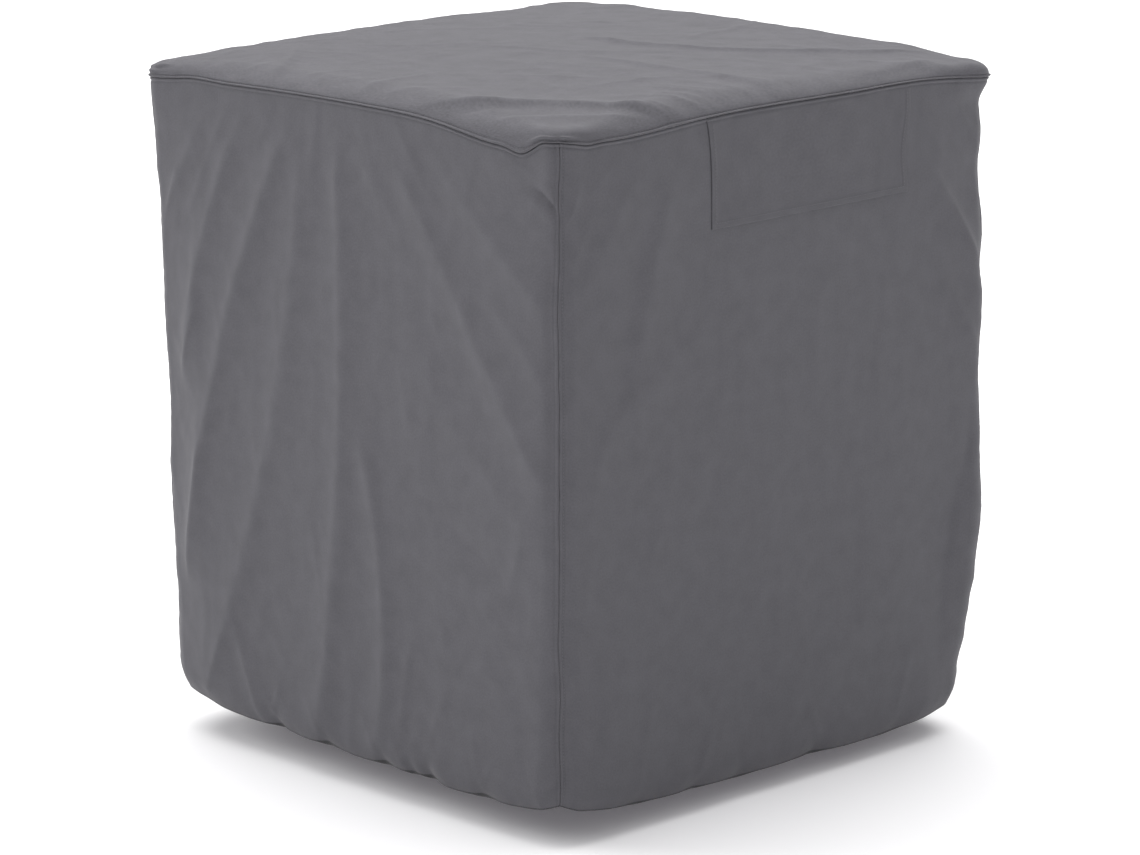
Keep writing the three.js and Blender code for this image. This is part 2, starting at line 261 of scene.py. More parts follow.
def wrinkle(u: float, v: float, plane: float) -> float:
    """Smooth unevenness at (u, v), about from -1 to 1, with a pattern of its own for each plane."""
    return noise.noise(Vector((u, v, plane))) * WRINKLE_GAIN


def crumple(u: float, v: float, plane: float) -> float:
    """Uneven fine creases at (u, v): thin raised lines between soft hollows, about from -0.5 to 0.5."""
    return 0.5 - min(1.0, CRUMPLE_SHARPNESS * abs(noise.noise(Vector((u, v, plane)))))


def rim_shape(t: float) -> tuple[float, float]:
    """Power and width of the top's rim at t: slack along the sides, and full at the corners."""
    full = smoothstep(abs(t), RIM_FULL_FROM, RIM_FULL_AT)
    return lerp(RIM_SLACK, RIM_FULLNESS, full), lerp(SLACK_WIDTH, RIM_WIDTH, full)


def rim_bend(bend: float, t: float) -> tuple[float, float, float]:
    """The bend of the top's rim.

    Args:
        bend: Angle of the bend, in radians.
        t: Place along the side, from -1 to 1.

    Returns:
        The rim's width, then how far out of it and how far down the cloth has come, as shares.
    """
    power, width = rim_shape(t)
    return width, math.sin(bend) ** power, 1 - max(0.0, math.cos(bend)) ** power


def rim_to_seam(bend: float, t: float) -> float:
    """Distance along the cloth from an angle of the rim's bend to the seam."""
    width, out, down = rim_bend(bend, t)
    return RIM_DROP * (1 - down) + width * (1 - out)


def bend_beside_seam(distance: float, t: float) -> float:
    """The angle of the rim's bend at a short distance from the seam."""
    return math.acos((distance / RIM_DROP) ** (1 / rim_shape(t)[0]))


def rim_half(bend: float, t: float, level_share: float = 1.0) -> float:
    """Half the top's width at an angle of its rim's bend, or at a share of the level part inside it."""
    width, out, _ = rim_bend(bend, t)
    return (HALF - width) * level_share + (width + RIM_FLARE) * out


def ridge(distance: float, left: float, right: float, crest: float) -> float:
    """Cross-section of a ridge, 1 high at its crest.

    Args:
        distance: Distance to the right of the crest.
        left: Width of the left flank.
        right: Width of the right flank.
        crest: Roundness of the crest, in shares of a flank.

    Returns:
        The height there.
    """
    flanks = distance / (left if distance < 0 else right)
    if abs(flanks) > FAR_FLANKS:
        return 0.0
    return math.exp(crest - math.hypot(flanks, crest))


@dataclass(frozen=True)
class Grain:
    """One size of the cloth's unevenness: its height, its length both ways, and a pattern of its own."""

    height: float
    across: float
    down: float
    plane: float

    def soft(self, u: float, v: float, plane: float = 0.0) -> float:
        """Soft swells at (u, v)."""
        return self.height * wrinkle(u / self.across, v / self.down, plane + self.plane)

    def sharp(self, u: float, v: float, plane: float = 0.0) -> float:
        """Fine creases at (u, v)."""
        return self.height * crumple(u / self.across, v / self.down, plane + self.plane)


FINE_PUCKER = Grain(height=0.45, across=9, down=40, plane=0)
FINE_PUCKER_FADE = 9.0
BROAD_PUCKER = Grain(height=1.1, across=26, down=80, plane=3)
BROAD_PUCKER_FADE = 22.0
BROAD_PUCKER_START = 12.0
FLAP_SWELL = Grain(height=0.5, across=46, down=60, plane=30)
SIDE_SWELLS = table(
    Grain,
    "height across down plane",
    (1.2, 110, 240, 0),
    (0.4, 36, 80, 2),
    (0.12, 15, 24, 4),
)
SIDE_LINES = table(
    Grain,
    "height across down plane",
    (0.34, 52, 110, 6),
    (0.13, 24, 34, 8),
)
TOP_SWELLS = table(
    Grain,
    "height across down plane",
    (1.0, 150, 150, 80),
    (0.45, 48, 48, 82),
    (0.18, 17, 17, 84),
)
TOP_LINES = table(
    Grain,
    "height across down plane",
    (0.8, 90, 70, 86),
    (0.34, 36, 32, 88),
)


def seam_pucker(along: float, distance: float, plane: float) -> float:
    """Small gathers that a row of stitches pulls into the cloth.

    Args:
        along: Place along the seam.
        distance: Distance from it.
        plane: The seam's own pattern.

    Returns:
        The relief of the gathers.
    """
    if distance > PUCKER_REACH:
        return 0.0
    fine = FINE_PUCKER.soft(along, distance, plane) * math.exp(-distance / FINE_PUCKER_FADE)
    broad = BROAD_PUCKER.soft(along, distance, plane) * math.exp(-distance / BROAD_PUCKER_FADE)
    return fine + broad * smoothstep(distance, 0, BROAD_PUCKER_START)


@dataclass(frozen=True)
class Wave:
    """How far the cloth stands out at one height of a corner seam."""

    z: float
    out: float


@dataclass(frozen=True)
class Corner:
    """A corner seam: the heights of its two ends and its waves, from the top down."""

    seam: float
    hem: float
    waves: tuple[Wave, ...]

    def wave_at(self, z: float) -> float:
        """How far the cloth stands out at a height, with smooth steps between the waves.

        Args:
            z: The height.

        Returns:
            The distance outwards.
        """
        if z >= self.waves[0].z:
            return self.waves[0].out
        for above, below in zip(self.waves, self.waves[1:]):
            if z >= below.z:
                return lerp(above.out, below.out, smoothstep(-z, -above.z, -below.z))
        return self.waves[-1].out

    def wander(self, z: float) -> float:
        """How far the sewn seam strays sideways at a height."""
        return SEAM_WANDER * wrinkle(z / SEAM_WANDER_LENGTH, SEAM_WANDER_PLACE, self.hem)


@dataclass
class Fold:
    """A ridge from (s0, z0) through (s1, z1) to (s2, z2), or a trough if rise is below 0.

    left and right are how wide the flanks run on its two sides.
    """

    s0: float
    z0: float
    s1: float
    z1: float
    s2: float
    z2: float
    rise: float
    left: float
    right: float
    fade: float = FOLD_FADE
    crest: float = CREST
    low: float = field(init=False)
    bend: float = field(init=False)

    def __post_init__(self) -> None:
        """Works out the parabola that the crest follows."""
        self.low = (self.s1 - self.s0) / (self.z0 - self.z1)
        high = (self.s2 - self.s1) / (self.z1 - self.z2)
        self.bend = (high - self.low) / (self.z0 - self.z2)

    def height(self, s: float, z: float) -> float:
        """The fold's relief.

        Args:
            s: Place along the side.
            z: Height on it.

        Returns:
            The relief, outwards.
        """
        drop = self.z0 - z
        if drop < -self.fade or z < self.z2 - self.fade:
            return 0.0
        path = self.s0 + drop * (self.low + self.bend * (self.z1 - z))
        slope = self.low + self.bend * (self.z0 + self.z1 - 2 * z)
        distance = (s - path) / math.hypot(1, slope)
        across = ridge(distance, self.left, self.right, self.crest)
        if across == 0.0:
            return 0.0
        ends = smoothstep(drop, -self.fade, self.fade / 2)
        ends *= smoothstep(z, self.z2 - self.fade, self.z2 + self.fade / 2)
        return self.rise * across * ends


def crease(s0: float, z0: float, s2: float, z2: float, rise: float, half: float, bow: float = 0.0) -> Fold:
    """A fine crease from (s0, z0) down to (s2, z2).

    Args:
        s0: Place of its top along the side.
        z0: Height of its top.
        s2: Place of its low end.
        z2: Height of its low end.
        rise: Height of the crease, below 0 for a trough.
        half: Width of its flanks.
        bow: How far its middle stands to the right of the straight line.

    Returns:
        The crease as a short sharp fold.
    """
    middle = (s0 + s2) / 2 + bow
    return Fold(s0, z0, middle, (z0 + z2) / 2, s2, z2, rise, half, half, CREASE_FADE, CREASE_CREST)


@dataclass(frozen=True)
class Tuck:
    """A tuck of the gathered hem: its place, depth and half width, the hem's lift, and its inner lip."""

    s: float
    depth: float
    half: float
    lift: float
    lip: float = 3.0


@dataclass(frozen=True)
class Swell:
    """Where an even line swells: its place, how far, and the half width."""

    s: float
    rise: float
    half: float


def swelling(s: float, swells: tuple[Swell, ...]) -> float:
    """How far the swells reach at s."""
    return sum(bump(s - k.s, k.half) * k.rise for k in swells)


@dataclass(frozen=True)
class Pinch:
    """A small pinch of the top's rim: its side, its place, its distance from the seam, height and sizes."""

    node: str
    s: float
    at: float
    rise: float
    half: float
    width: float


PINCHES = table(
    Pinch,
    "node s at rise half width",
    ("panel_front", 334, 11.0, 3.2, 17, 3.0),
    ("panel_right", -352, 11.0, 3.2, 17, 3.0),
    ("panel_front", -344, 12.0, 2.6, 9, 3.0),
    ("panel_front", -338, 21.0, -3.0, 11, 5.0),
    ("panel_front", -331, 29.0, 1.8, 10, 4.5),
    ("panel_left", 350, 17.0, 2.0, 10, 3.8),
)

FRONT_LEFT = Corner(
    seam=-34,
    hem=-771,
    waves=table(
        Wave,
        "z out",
        (-34, 1), (-127, -4), (-184, -8), (-295, -10), (-442, -15), (-516, -12),
        (-590, -11.5), (-655, -11.5), (-720, -9), (-771, -9.5),
    ),
)
FRONT_RIGHT = Corner(
    seam=-28.5,
    hem=-781,
    waves=table(
        Wave,
        "z out",
        (-29, -3), (-90, -5), (-250, 0), (-500, 1), (-783, -5),
    ),
)
BACK_RIGHT = Corner(
    seam=-31,
    hem=-789,
    waves=table(
        Wave,
        "z out",
        (-31, 3.5), (-62, -7), (-97, -4), (-140, -7), (-219, 0), (-256, -2), (-293, 2),
        (-385, -1), (-476, 3), (-560, 9), (-632, 6), (-672, 2), (-705, -1), (-757, -8.5),
        (-789, -9),
    ),
)
BACK_LEFT = Corner(
    seam=-33,
    hem=-782,
    waves=table(
        Wave,
        "z out",
        (-33, 3), (-80, -1), (-300, 3), (-560, 6), (-782, 0),
    ),
)

FRONT_FOLDS = table(
    Fold,
    "s0 z0 s1 z1 s2 z2 rise left right",
    (-239, -64, -273, -117, -307, -172, 3.5, 13, 15),
    (-165, -48, -233, -187, -286, -360, 5.6, 15, 15),
    (-80, -45, -186, -268, -284, -600, 7.4, 19, 17),
    (-66, -85, -107, -356, -245, -734, 5.2, 20, 21),
    (-8, -45, 3, -338, -56, -790, 6.3, 18, 20),
    (37, -420, 67, -574, 49, -780, 5.4, 15, 16),
    (8, -52, 40, -84, 65, -123, 3, 10, 11),
    (74, -45, 196, -217, 320, -399, 5.8, 19, 17),
    (130, -30, 238, -134, 336, -213, 5, 17, 16),
    (280, -240, 330, -296, 350, -340, 3, 13, 11),
    (143, -303, 212, -385, 318, -471, 2.6, 24, 20),
    (154, -466, 215, -505, 266, -536, -2.6, 16, 16),
    (297, -481, 289, -507, 278, -533, 2.2, 9, 11),
    (-190, -710, -180, -740, -167, -775, 3, 6, 11),
)
FRONT_CREASES = table(
    crease,
    "s0 z0 s2 z2 rise half",
    (-262, -300, -290, -372, 1.6, 3.5),
    (-258, -470, -292, -620, 1.8, 4),
    (-300, -150, -318, -190, 1.4, 4),
    (-222, -690, -262, -772, 1.1, 5),
    (-205, -60, -262, -170, 1.6, 8),
    (-118, -40, -140, -86, 1.2, 7),
    (-40, -40, -46, -150, 1.4, 9),
    (30, -42, 92, -150, 1.3, 8),
    (98, -40, 150, -112, 1.2, 7),
    (180, -58, 262, -128, 1.0, 9),
    (300, -62, 348, -82, 1.3, 5),
    (322, -128, 350, -142, 1.0, 4),
    (244, -560, 300, -640, 0.9, 12),
    (112, -640, 92, -740, 1.6, 9),
    (160, -700, 128, -772, 1.5, 8),
    (212, -720, 222, -775, 1.2, 8),
    (118, -742, 86, -786, 1.0, 6),
    (76, -752, 92, -790, 1.0, 6),
    (26, -738, 52, -786, 1.1, 6),
    (-66, -752, -42, -790, 1.0, 6),
    (-128, -745, -142, -778, 1.4, 4),
    (-152, -752, -128, -784, 1.4, 4),
    (240, -752, 220, -786, 1.3, 5),
) + table(
    Fold,
    "s0 z0 s1 z1 s2 z2 rise left right crest fade",
    (320, -85, 334, -94, 345, -103, -5, 3.5, 3, 0.3, 7),
    (310, -92, 325, -103, 338, -114, 1.5, 6, 4, 0.3, 9),
    (338, -150, 340, -280, 341, -440, -1.8, 9, 8, 0.5),
)
RIGHT_FOLDS = table(
    Fold,
    "s0 z0 s1 z1 s2 z2 rise left right",
    (-232, -65, -268, -119, -300, -173, 3, 16, 18),
    (-187, -100, -215, -185, -235, -276, 4, 17, 20),
    (-224, -143, -248, -239, -264, -320, -3, 16, 16),
    (-200, -300, -275, -358, -303, -426, 3, 16, 20),
    (262, -150, 305, -210, 334, -256, 6, 18, 10),
    (290, -290, 315, -325, 332, -355, 4, 14, 10),
    (340, -440, 306, -515, 284, -670, -3.5, 20, 13),
    (170, -625, 106, -682, 12, -740, 2, 24, 20),
)
RIGHT_CREASES = table(
    crease,
    "s0 z0 s2 z2 rise half bow",
    (-322, -80, -342, -118, 1.4, 5, 3),
    (-296, -96, -330, -160, 1.1, 7),
    (-268, -52, -300, -84, 1.0, 7),
    (232, -60, 262, -110, 1.2, 8),
    (300, -66, 330, -110, 1.6, 7),
    (286, -180, 322, -236, 1.4, 5),
    (-178, -420, -216, -520, 0.9, 13),
    (-92, -300, -120, -420, 0.7, 16),
    (60, -240, 40, -380, 0.7, 17),
    (150, -380, 196, -480, 0.7, 15),
    (-210, -690, -228, -778, 1.2, 8),
    (-112, -742, -134, -790, 1.3, 6),
    (52, -738, 70, -785, 1.3, 7),
    (224, -720, 208, -776, 1.1, 7),
)
BACK_FOLDS = table(
    Fold,
    "s0 z0 s1 z1 s2 z2 rise left right",
    (-200, -60, -245, -300, -270, -600, 7, 25, 21),
    (60, -60, 30, -360, 10, -780, 7, 28, 23),
    (190, -60, 240, -300, 290, -520, 6, 23, 19),
)
BACK_CREASES = table(
    crease,
    "s0 z0 s2 z2 rise half",
    (-60, -48, -82, -180, 1.4, 9),
    (130, -52, 150, -150, 1.3, 9),
    (-290, -90, -322, -170, 1.4, 7),
    (-90, -700, -98, -782, 1.6, 7),
    (60, -712, 46, -785, 1.5, 7),
    (190, -715, 180, -782, 1.4, 7),
)
LEFT_FOLDS = table(
    Fold,
    "s0 z0 s1 z1 s2 z2 rise left right",
    (-120, -60, -180, -320, -260, -640, 7, 25, 21),
    (90, -300, 120, -520, 130, -785, 6, 23, 19),
    (170, -60, 235, -260, 310, -470, 7, 22, 18),
)
LEFT_CREASES = table(
    crease,
    "s0 z0 s2 z2 rise half",
    (20, -48, 46, -170, 1.4, 9),
    (-210, -52, -262, -150, 1.4, 8),
    (262, -80, 322, -150, 1.4, 7),
    (-60, -700, -72, -782, 1.5, 7),
    (86, -722, 72, -786, 1.6, 6),
    (-240, -700, -228, -780, 1.4, 8),
)

FRONT_SAGS = table(
    Swell,
    "s rise half",
    (270, 14, 90),
    (-262, -3, 40),
    (303, 8.5, 20),
    (338, -6, 14),
)
RIGHT_SAGS = table(
    Swell,
    "s rise half",
    (-262, 7.5, 110),
    (-318, 3, 16),
    (225, -4, 90),
)
FRONT_TUCKS = table(
    Tuck,
    "s depth half lift lip",
    (-266, 2.5, 22, 1),
    (-140, 4, 14, 9, 6),
    (-48, 4, 15, 10, 7),
    (54, 4, 13, 10, 7),
    (103, 2.5, 9, 5, 5),
    (133, 4, 12, 9, 6),
    (226, 3, 15, 8, 5.5),
)
RIGHT_TUCKS = table(
    Tuck,
    "s depth half lift lip",
    (-227, 2, 16, 2),
    (-135, 2.5, 14, 4),
    (-58, 1.5, 18, 1),
    (70, 4, 20, 6, 5),
    (209, 2, 24, 1),
)
BACK_TUCKS = table(
    Tuck,
    "s depth half lift",
    (-215, 7, 20, 3),
    (-96, 10, 16, 5),
    (48, 8, 18, 4),
    (178, 9, 17, 5),
)
LEFT_TUCKS = table(
    Tuck,
    "s depth half lift",
    (-230, 8, 18, 4),
    (-70, 9, 17, 5),
    (74, 11, 15, 5),
    (212, 7, 20, 3),
)

# Rolls of the side panels' upper edges, above the even roll
SIDE_ROLL = 0.9
RIM_ROLL = 1.9
CORNER_ROLL_LEFT = 0.5
CORNER_ROLL_RIGHT = 0.15
FRONT_ROLLS = table(Swell, "s rise half", (230, 1.1, 90))
RIGHT_ROLLS = table(
    Swell,
    "s rise half",
    (-300, 0.4, 50),
    (130, 0.3, 70),
)


@dataclass
class Side:
    """The shape of one side of the cover, in millimetres and in the front side's place."""

    node: str
    turns: int
    left: Corner
    right: Corner
    folds: tuple[Fold, ...]
    creases: tuple[Fold, ...]
    tucks: tuple[Tuck, ...]
    sags: tuple[Swell, ...] = ()
    rolls: tuple[Swell, ...] = ()
    crumpled: float = 1.0

    def seam_z(self, t: float) -> float:
        """Height of the top seam at t, from -1 at the left corner to 1 at the right."""
        even = lerp(SEAM_MID_Z, self.left.seam if t < 0 else self.right.seam, t * t)
        return even - swelling(t * HALF, self.sags) * (1 - t**SEAM_FADE)

    def hem_z(self, t: float) -> float:
        """Height of the hem.

        Args:
            t: Place along the side, from -1 to 1.

        Returns:
            The height of its edge, which the tucks lift.
        """
        straight = lerp(self.left.hem, self.right.hem, (t + 1) / 2)
        lift = sum(notch(t * HALF - k.s, k.half * NOTCH_LENGTH) * k.lift for k in self.tucks)
        return straight - HEM_SAG * (1 - abs(t) ** HEM_FLATNESS) + lift

    def lip(self, t: float) -> float:
        """How far the inner lip of the hem hangs below its edge at t."""
        return sum(bump(t * HALF - k.s, k.half) * k.lip for k in self.tucks)

    def roll(self, t: float) -> float:
        """Height of the roll under the top seam at t."""
        return SIDE_ROLL + swelling(t * HALF, self.rolls)

    def uneven(self, s: float, z: float) -> float:
        """The cloth's unevenness.

        Args:
            s: Place along the side.
            z: Height on it.

        Returns:
            The relief of the soft swells and of the fine creases.
        """
        plane = PATTERN_STEP * self.turns
        lines = sum(k.sharp(s, z, plane) for k in SIDE_LINES)
        return sum(k.soft(s, z, plane) for k in SIDE_SWELLS) + lines * self.crumpled

    def point(self, t: float, v: float, out: float = 0.0) -> Vector:
        """Point of the side's cloth.

        Args:
            t: Place along the side, from -1 to 1.
            v: Place down it, from 0 at the top seam to 1 at the hem.
            out: How far outside the cloth the point lies.

        Returns:
            The point in the front side's place.
        """
        top = self.seam_z(t)
        hem = self.hem_z(t)
        z = lerp(top, hem, v)
        to_hem = max(0.0, z - hem)
        pull = smoothstep(v, PULL_START, 1)
        half = HALF - HEM_PULL * pull
        radius = lerp(TOP_RADIUS, HEM_RADIUS, pull)
        length = half_length(half, radius)
        s = t * length
        to_seam = length - abs(s)
        x, y, nx, ny = rounded_side(s, half, radius)

        corner = self.left if t < 0 else self.right
        to_corner = clamp01(to_seam / CORNER_BAND)
        near_corner = (1 - to_corner) ** 2 * (1 + 2 * to_corner)
        calm_corner = smoothstep(to_seam, 0, CALM_CORNER)
        calm = calm_corner * smoothstep(top - z, 0, CALM_TOP)
        folds = sum(f.height(s, z) for f in self.folds) * calm
        fine = sum(f.height(s, z) for f in self.creases) + self.uneven(s, z)
        folds += fine * smoothstep(to_seam, 0, CREASE_CALM) * smoothstep(top - z, 0, CREASE_CALM)
        tucked = sum(bump(s - k.s, k.half) * k.depth for k in self.tucks)
        folds -= tucked * math.exp(-to_hem / GATHER_HEIGHT) * calm_corner
        belly = BELLY * math.sin(math.pi * clamp01(v)) * (1 - t * t)
        lip = TURN_DEPTH * max(0.0, 1 - to_hem / TURN_HEIGHT) ** 2

        corner_roll = CORNER_ROLL_LEFT if t < 0 else CORNER_ROLL_RIGHT
        sewn = seam_relief(to_seam, corner_roll) + seam_relief(top - z, self.roll(t))
        pattern = PUCKER_CORNER_LEFT if t < 0 else PUCKER_CORNER
        sewn += seam_pucker(z, to_seam, pattern + self.turns)
        sewn += seam_pucker(s, top - z, PUCKER_TOP + self.turns)
        relief = folds + belly - lip + sewn + out
        relief += corner.wave_at(z) * near_corner
        stray = corner.wander(z) * near_corner
        return Vector((x + nx * relief + ny * stray, -(y + ny * relief - nx * stray), z))

    def placed(self, point: Vector) -> Vector:
        """A point of the front side's place, brought to this side and to metres."""
        x, y = turned(point.x, point.y, self.turns)
        return Vector((x, y, point.z)) * MM


def crowded(count: int, length: float, finest: float) -> list[float]:
    """Places from 0 to 1, in steps that grow from the finest at both ends to an even one.

    Args:
        count: Number of steps.
        length: The length that they share.
        finest: The length of the end steps.

    Returns:
        The count + 1 places.
    """
    growth = [smoothstep(min(i, count - 1 - i), 0, count * GROWN_SHARE) for i in range(count)]
    spare = (length - finest * count) / sum(growth)
    places = [0.0]
    for share in growth:
        places.append(places[-1] + (finest + spare * share) / length)
    return [*places[:-1], 1.0]


SIDES = (
    Side(
        node="panel_front", turns=0, left=FRONT_LEFT, right=FRONT_RIGHT, crumpled=1.7,
        folds=FRONT_FOLDS, creases=FRONT_CREASES, tucks=FRONT_TUCKS, sags=FRONT_SAGS, rolls=FRONT_ROLLS,
    ),
    Side(
        node="panel_right", turns=1, left=FRONT_RIGHT, right=BACK_RIGHT,
        folds=RIGHT_FOLDS, creases=RIGHT_CREASES, tucks=RIGHT_TUCKS, sags=RIGHT_SAGS, rolls=RIGHT_ROLLS,
    ),
    Side(
        node="panel_back", turns=2, left=BACK_RIGHT, right=BACK_LEFT,
        folds=BACK_FOLDS, creases=BACK_CREASES, tucks=BACK_TUCKS,
    ),
    Side(
        node="panel_left", turns=3, left=BACK_LEFT, right=FRONT_LEFT,
        folds=LEFT_FOLDS, creases=LEFT_CREASES, tucks=LEFT_TUCKS,
    ),
)


def linked(name: str, bm: bmesh.types.BMesh) -> bpy.types.Object:
    """Brings a shape into the scene.

    Args:
        name: The name of its object and mesh.
        bm: The shape, which is freed.

    Returns:
        The object, at the origin.
    """
    mesh = bpy.data.meshes.new(name)
    bm.to_mesh(mesh)
    bm.free()
    piece = bpy.data.objects.new(name, mesh)
    bpy.context.scene.collection.objects.link(piece)
    return piece


@dataclass
class Sheet:
    """A thin sheet of cloth, shaped from a flat grid whose corners keep their place in the cut."""

    name: str
    columns: int
    rows: int
    place: Callable[[int, int], Vector]
    cut: Callable[[int, int], tuple[float, float]]

    def build(self) -> bpy.types.Object:
        """Shapes the sheet and gives it its thickness.

        Returns:
            The sheet's object, with its place in the cut as the UV map. It is thickened inwards.
        """
        bm = bmesh.new()
        bmesh.ops.create_grid(bm, x_segments=self.columns, y_segments=self.rows, size=0.5)
        cut = bm.loops.layers.uv.new(CUT_MAP)
        bm.verts.index_update()
        cells = []
        for vert in bm.verts:
            column = round((vert.co.x + 0.5) * self.columns)
            row = round((0.5 - vert.co.y) * self.rows)
            cells.append(self.cut(column, row))
            vert.co = self.place(column, row)
        for face in bm.faces:
            face.smooth = True
            for loop in face.loops:
                loop[cut].uv = cells[loop.vert.index]
        bm.normal_update()
        piece = linked(self.name, bm)
        solid = piece.modifiers.new("cloth", "SOLIDIFY")
        solid.thickness = SHEET * MM
        solid.offset = -1.0
        solid.use_rim = True
        return piece


@dataclass
class SidePanel:
    """A side of the cover, from the top seam down to the hem and its casing inside."""

    side: Side
    columns: int
    rows: int
    across: list[float] = field(init=False)
    down: list[float] = field(init=False)

    def __post_init__(self) -> None:
        """Works out where the grid's columns and rows lie."""
        self.across = crowded(self.columns, 2 * half_length(HALF, TOP_RADIUS), FINEST)
        self.down = crowded(self.rows, -self.side.left.hem, FINEST)

    def t(self, column: int) -> float:
        """Place along the side of a column."""
        return 2 * self.across[column] - 1

    def place(self, column: int, row: int) -> Vector:
        """Place of a grid point.

        Args:
            column: Its column, from the left.
            row: Its row, from the top. The last rows are the casing of the hem.

        Returns:
            The place in metres.
        """
        t = self.t(column)
        if row <= self.rows:
            return self.side.placed(self.side.point(t, self.down[row]))
        return self.side.placed(self.casing(t, (row - self.rows) / HEM_ROWS))

    def casing(self, t: float, share: float) -> Vector:
        """Point of the hem's casing, which turns under the edge and runs up inside.

        Args:
            t: Place along the side.
            share: Place round the turn, from 0 at the edge to 1 at the casing's upper end.

        Returns:
            The point in the front side's place.
        """
        round_share = min(1.0, share / CASING_TURN_SHARE)
        angle = math.pi * round_share
        inward = CASING_RADIUS * (1 - math.cos(angle)) + self.side.lip(t) * LIP_INWARD * round_share
        drop = CASING_RADIUS * math.sin(angle)
        drop += self.side.lip(t) * math.sin(min(math.pi, angle * LIP_TURN))
        up = max(0.0, share - CASING_TURN_SHARE) / (1 - CASING_TURN_SHARE) * CASING_HEIGHT
        edge = self.side.point(t, 1.0, -inward)
        edge.z += up - drop
        return edge

    def cut(self, column: int, row: int) -> tuple[float, float]:
        """Place of a grid point in the flat cloth, in metres."""
        down = self.down[row] if row <= self.rows else 1 + (row - self.rows) * CUT_HEM_STEP
        return self.across[column] * WIDTH * MM, -down * CUT_HEM

    def build(self) -> bpy.types.Object:
        """Builds the panel's sheet."""
        name = self.side.node.replace("panel", "cover")
        return Sheet(name, self.columns, self.rows + HEM_ROWS, self.place, self.cut).build()


@dataclass
class PlanFold:
    """A ridge of the top panel through three points of its plan, or a trough if rise is below 0.

    left and right are its flanks, as seen from above by someone who looks along it.
    """

    x0: float
    y0: float
    x1: float
    y1: float
    x2: float
    y2: float
    rise: float
    left: float
    right: float
    fade: float = FOLD_FADE
    crest: float = CREST

    def __post_init__(self) -> None:
        """Works out the fold's direction and the bow of its crest."""
        self.length = math.hypot(self.x2 - self.x0, self.y2 - self.y0)
        self.ax = (self.x2 - self.x0) / self.length
        self.ay = (self.y2 - self.y0) / self.length
        q, d = self.local(self.x1, self.y1)
        self.bow = d / (q * (q - self.length))

    def local(self, x: float, y: float) -> tuple[float, float]:
        """(x, y) as the distance along the fold's straight line and the distance to its right."""
        dx, dy = x - self.x0, y - self.y0
        return dx * self.ax + dy * self.ay, dx * self.ay - dy * self.ax

    def height(self, x: float, y: float) -> float:
        """The fold's relief.

        Args:
            x: Place on the plan.
            y: Place on the plan.

        Returns:
            The relief, upwards.
        """
        q, d = self.local(x, y)
        if q < -self.fade or q > self.length + self.fade:
            return 0.0
        slope = self.bow * (2 * q - self.length)
        distance = (d - self.bow * q * (q - self.length)) / math.hypot(1, slope)
        across = ridge(distance, self.left, self.right, self.crest)
        if across == 0.0:
            return 0.0
        ends = smoothstep(q, -self.fade, self.fade / 2)
        ends *= 1 - smoothstep(q, self.length - self.fade / 2, self.length + self.fade)
        return self.rise * across * ends


def gather(x0: float, y0: float, x2: float, y2: float, rise: float, half: float) -> PlanFold:
    """A short gather of the top panel.

    Args:
        x0: Plan place of its first end.
        y0: Plan place of its first end.
        x2: Plan place of its last end.
        y2: Plan place of its last end.
        rise: Height, below 0 for a trough.
        half: Width of its flanks.

    Returns:
        The gather as a fine straight fold.
    """
    middle = ((x0 + x2) / 2, (y0 + y2) / 2)
    return PlanFold(x0, y0, *middle, x2, y2, rise, half, half, GATHER_FADE, GATHER_CREST)


TOP_FOLDS = table(
    PlanFold,
    "x0 y0 x1 y1 x2 y2 rise left right crest fade",
    (114, -358, 254, -272, 358, -176, 6.5, 30, 8, 0.15),
    (226, -354, 310, -288, 350, -206, 2.5, 6, 9, 0.3),
    (-28, 68, 130, 118, 270, 290, 4, 20, 6, 0.2, 34),
    (90, -30, 215, -24, 325, -14, 3, 16, 6, 0.2),
    (46, 163, 28, 225, 18, 285, 2.5, 9, 6, CREST, 34),
    (-133, -340, -188, -262, -235, -213, 3, 13, 7, 0.2),
    (20, -340, 22, -300, 23, -259, 2.2, 7, 9, 0.2),
    (338, 150, 333, 215, 325, 275, 3, 16, 6, CREST, 34),
    (338, 285, 330, 325, 285, 338, -2, 18, 16, CREST, 34),
    (-335, -320, -338, -270, -335, -215, -1.5, 16, 16, CREST, 34),
    (-250, 325, 0, 318, 250, 325, 5, 34, 34),
    (210, -150, 240, -60, 330, 10, 1.6, 12, 6, 0.2),
    (-60, -60, 40, -10, 110, 70, 1.5, 16, 7, 0.2),
    (255, -345, 318, -318, 345, -255, -5.5, 46, 46),
    (-345, -300, -335, -335, -300, -345, -4, 16, 16),
)
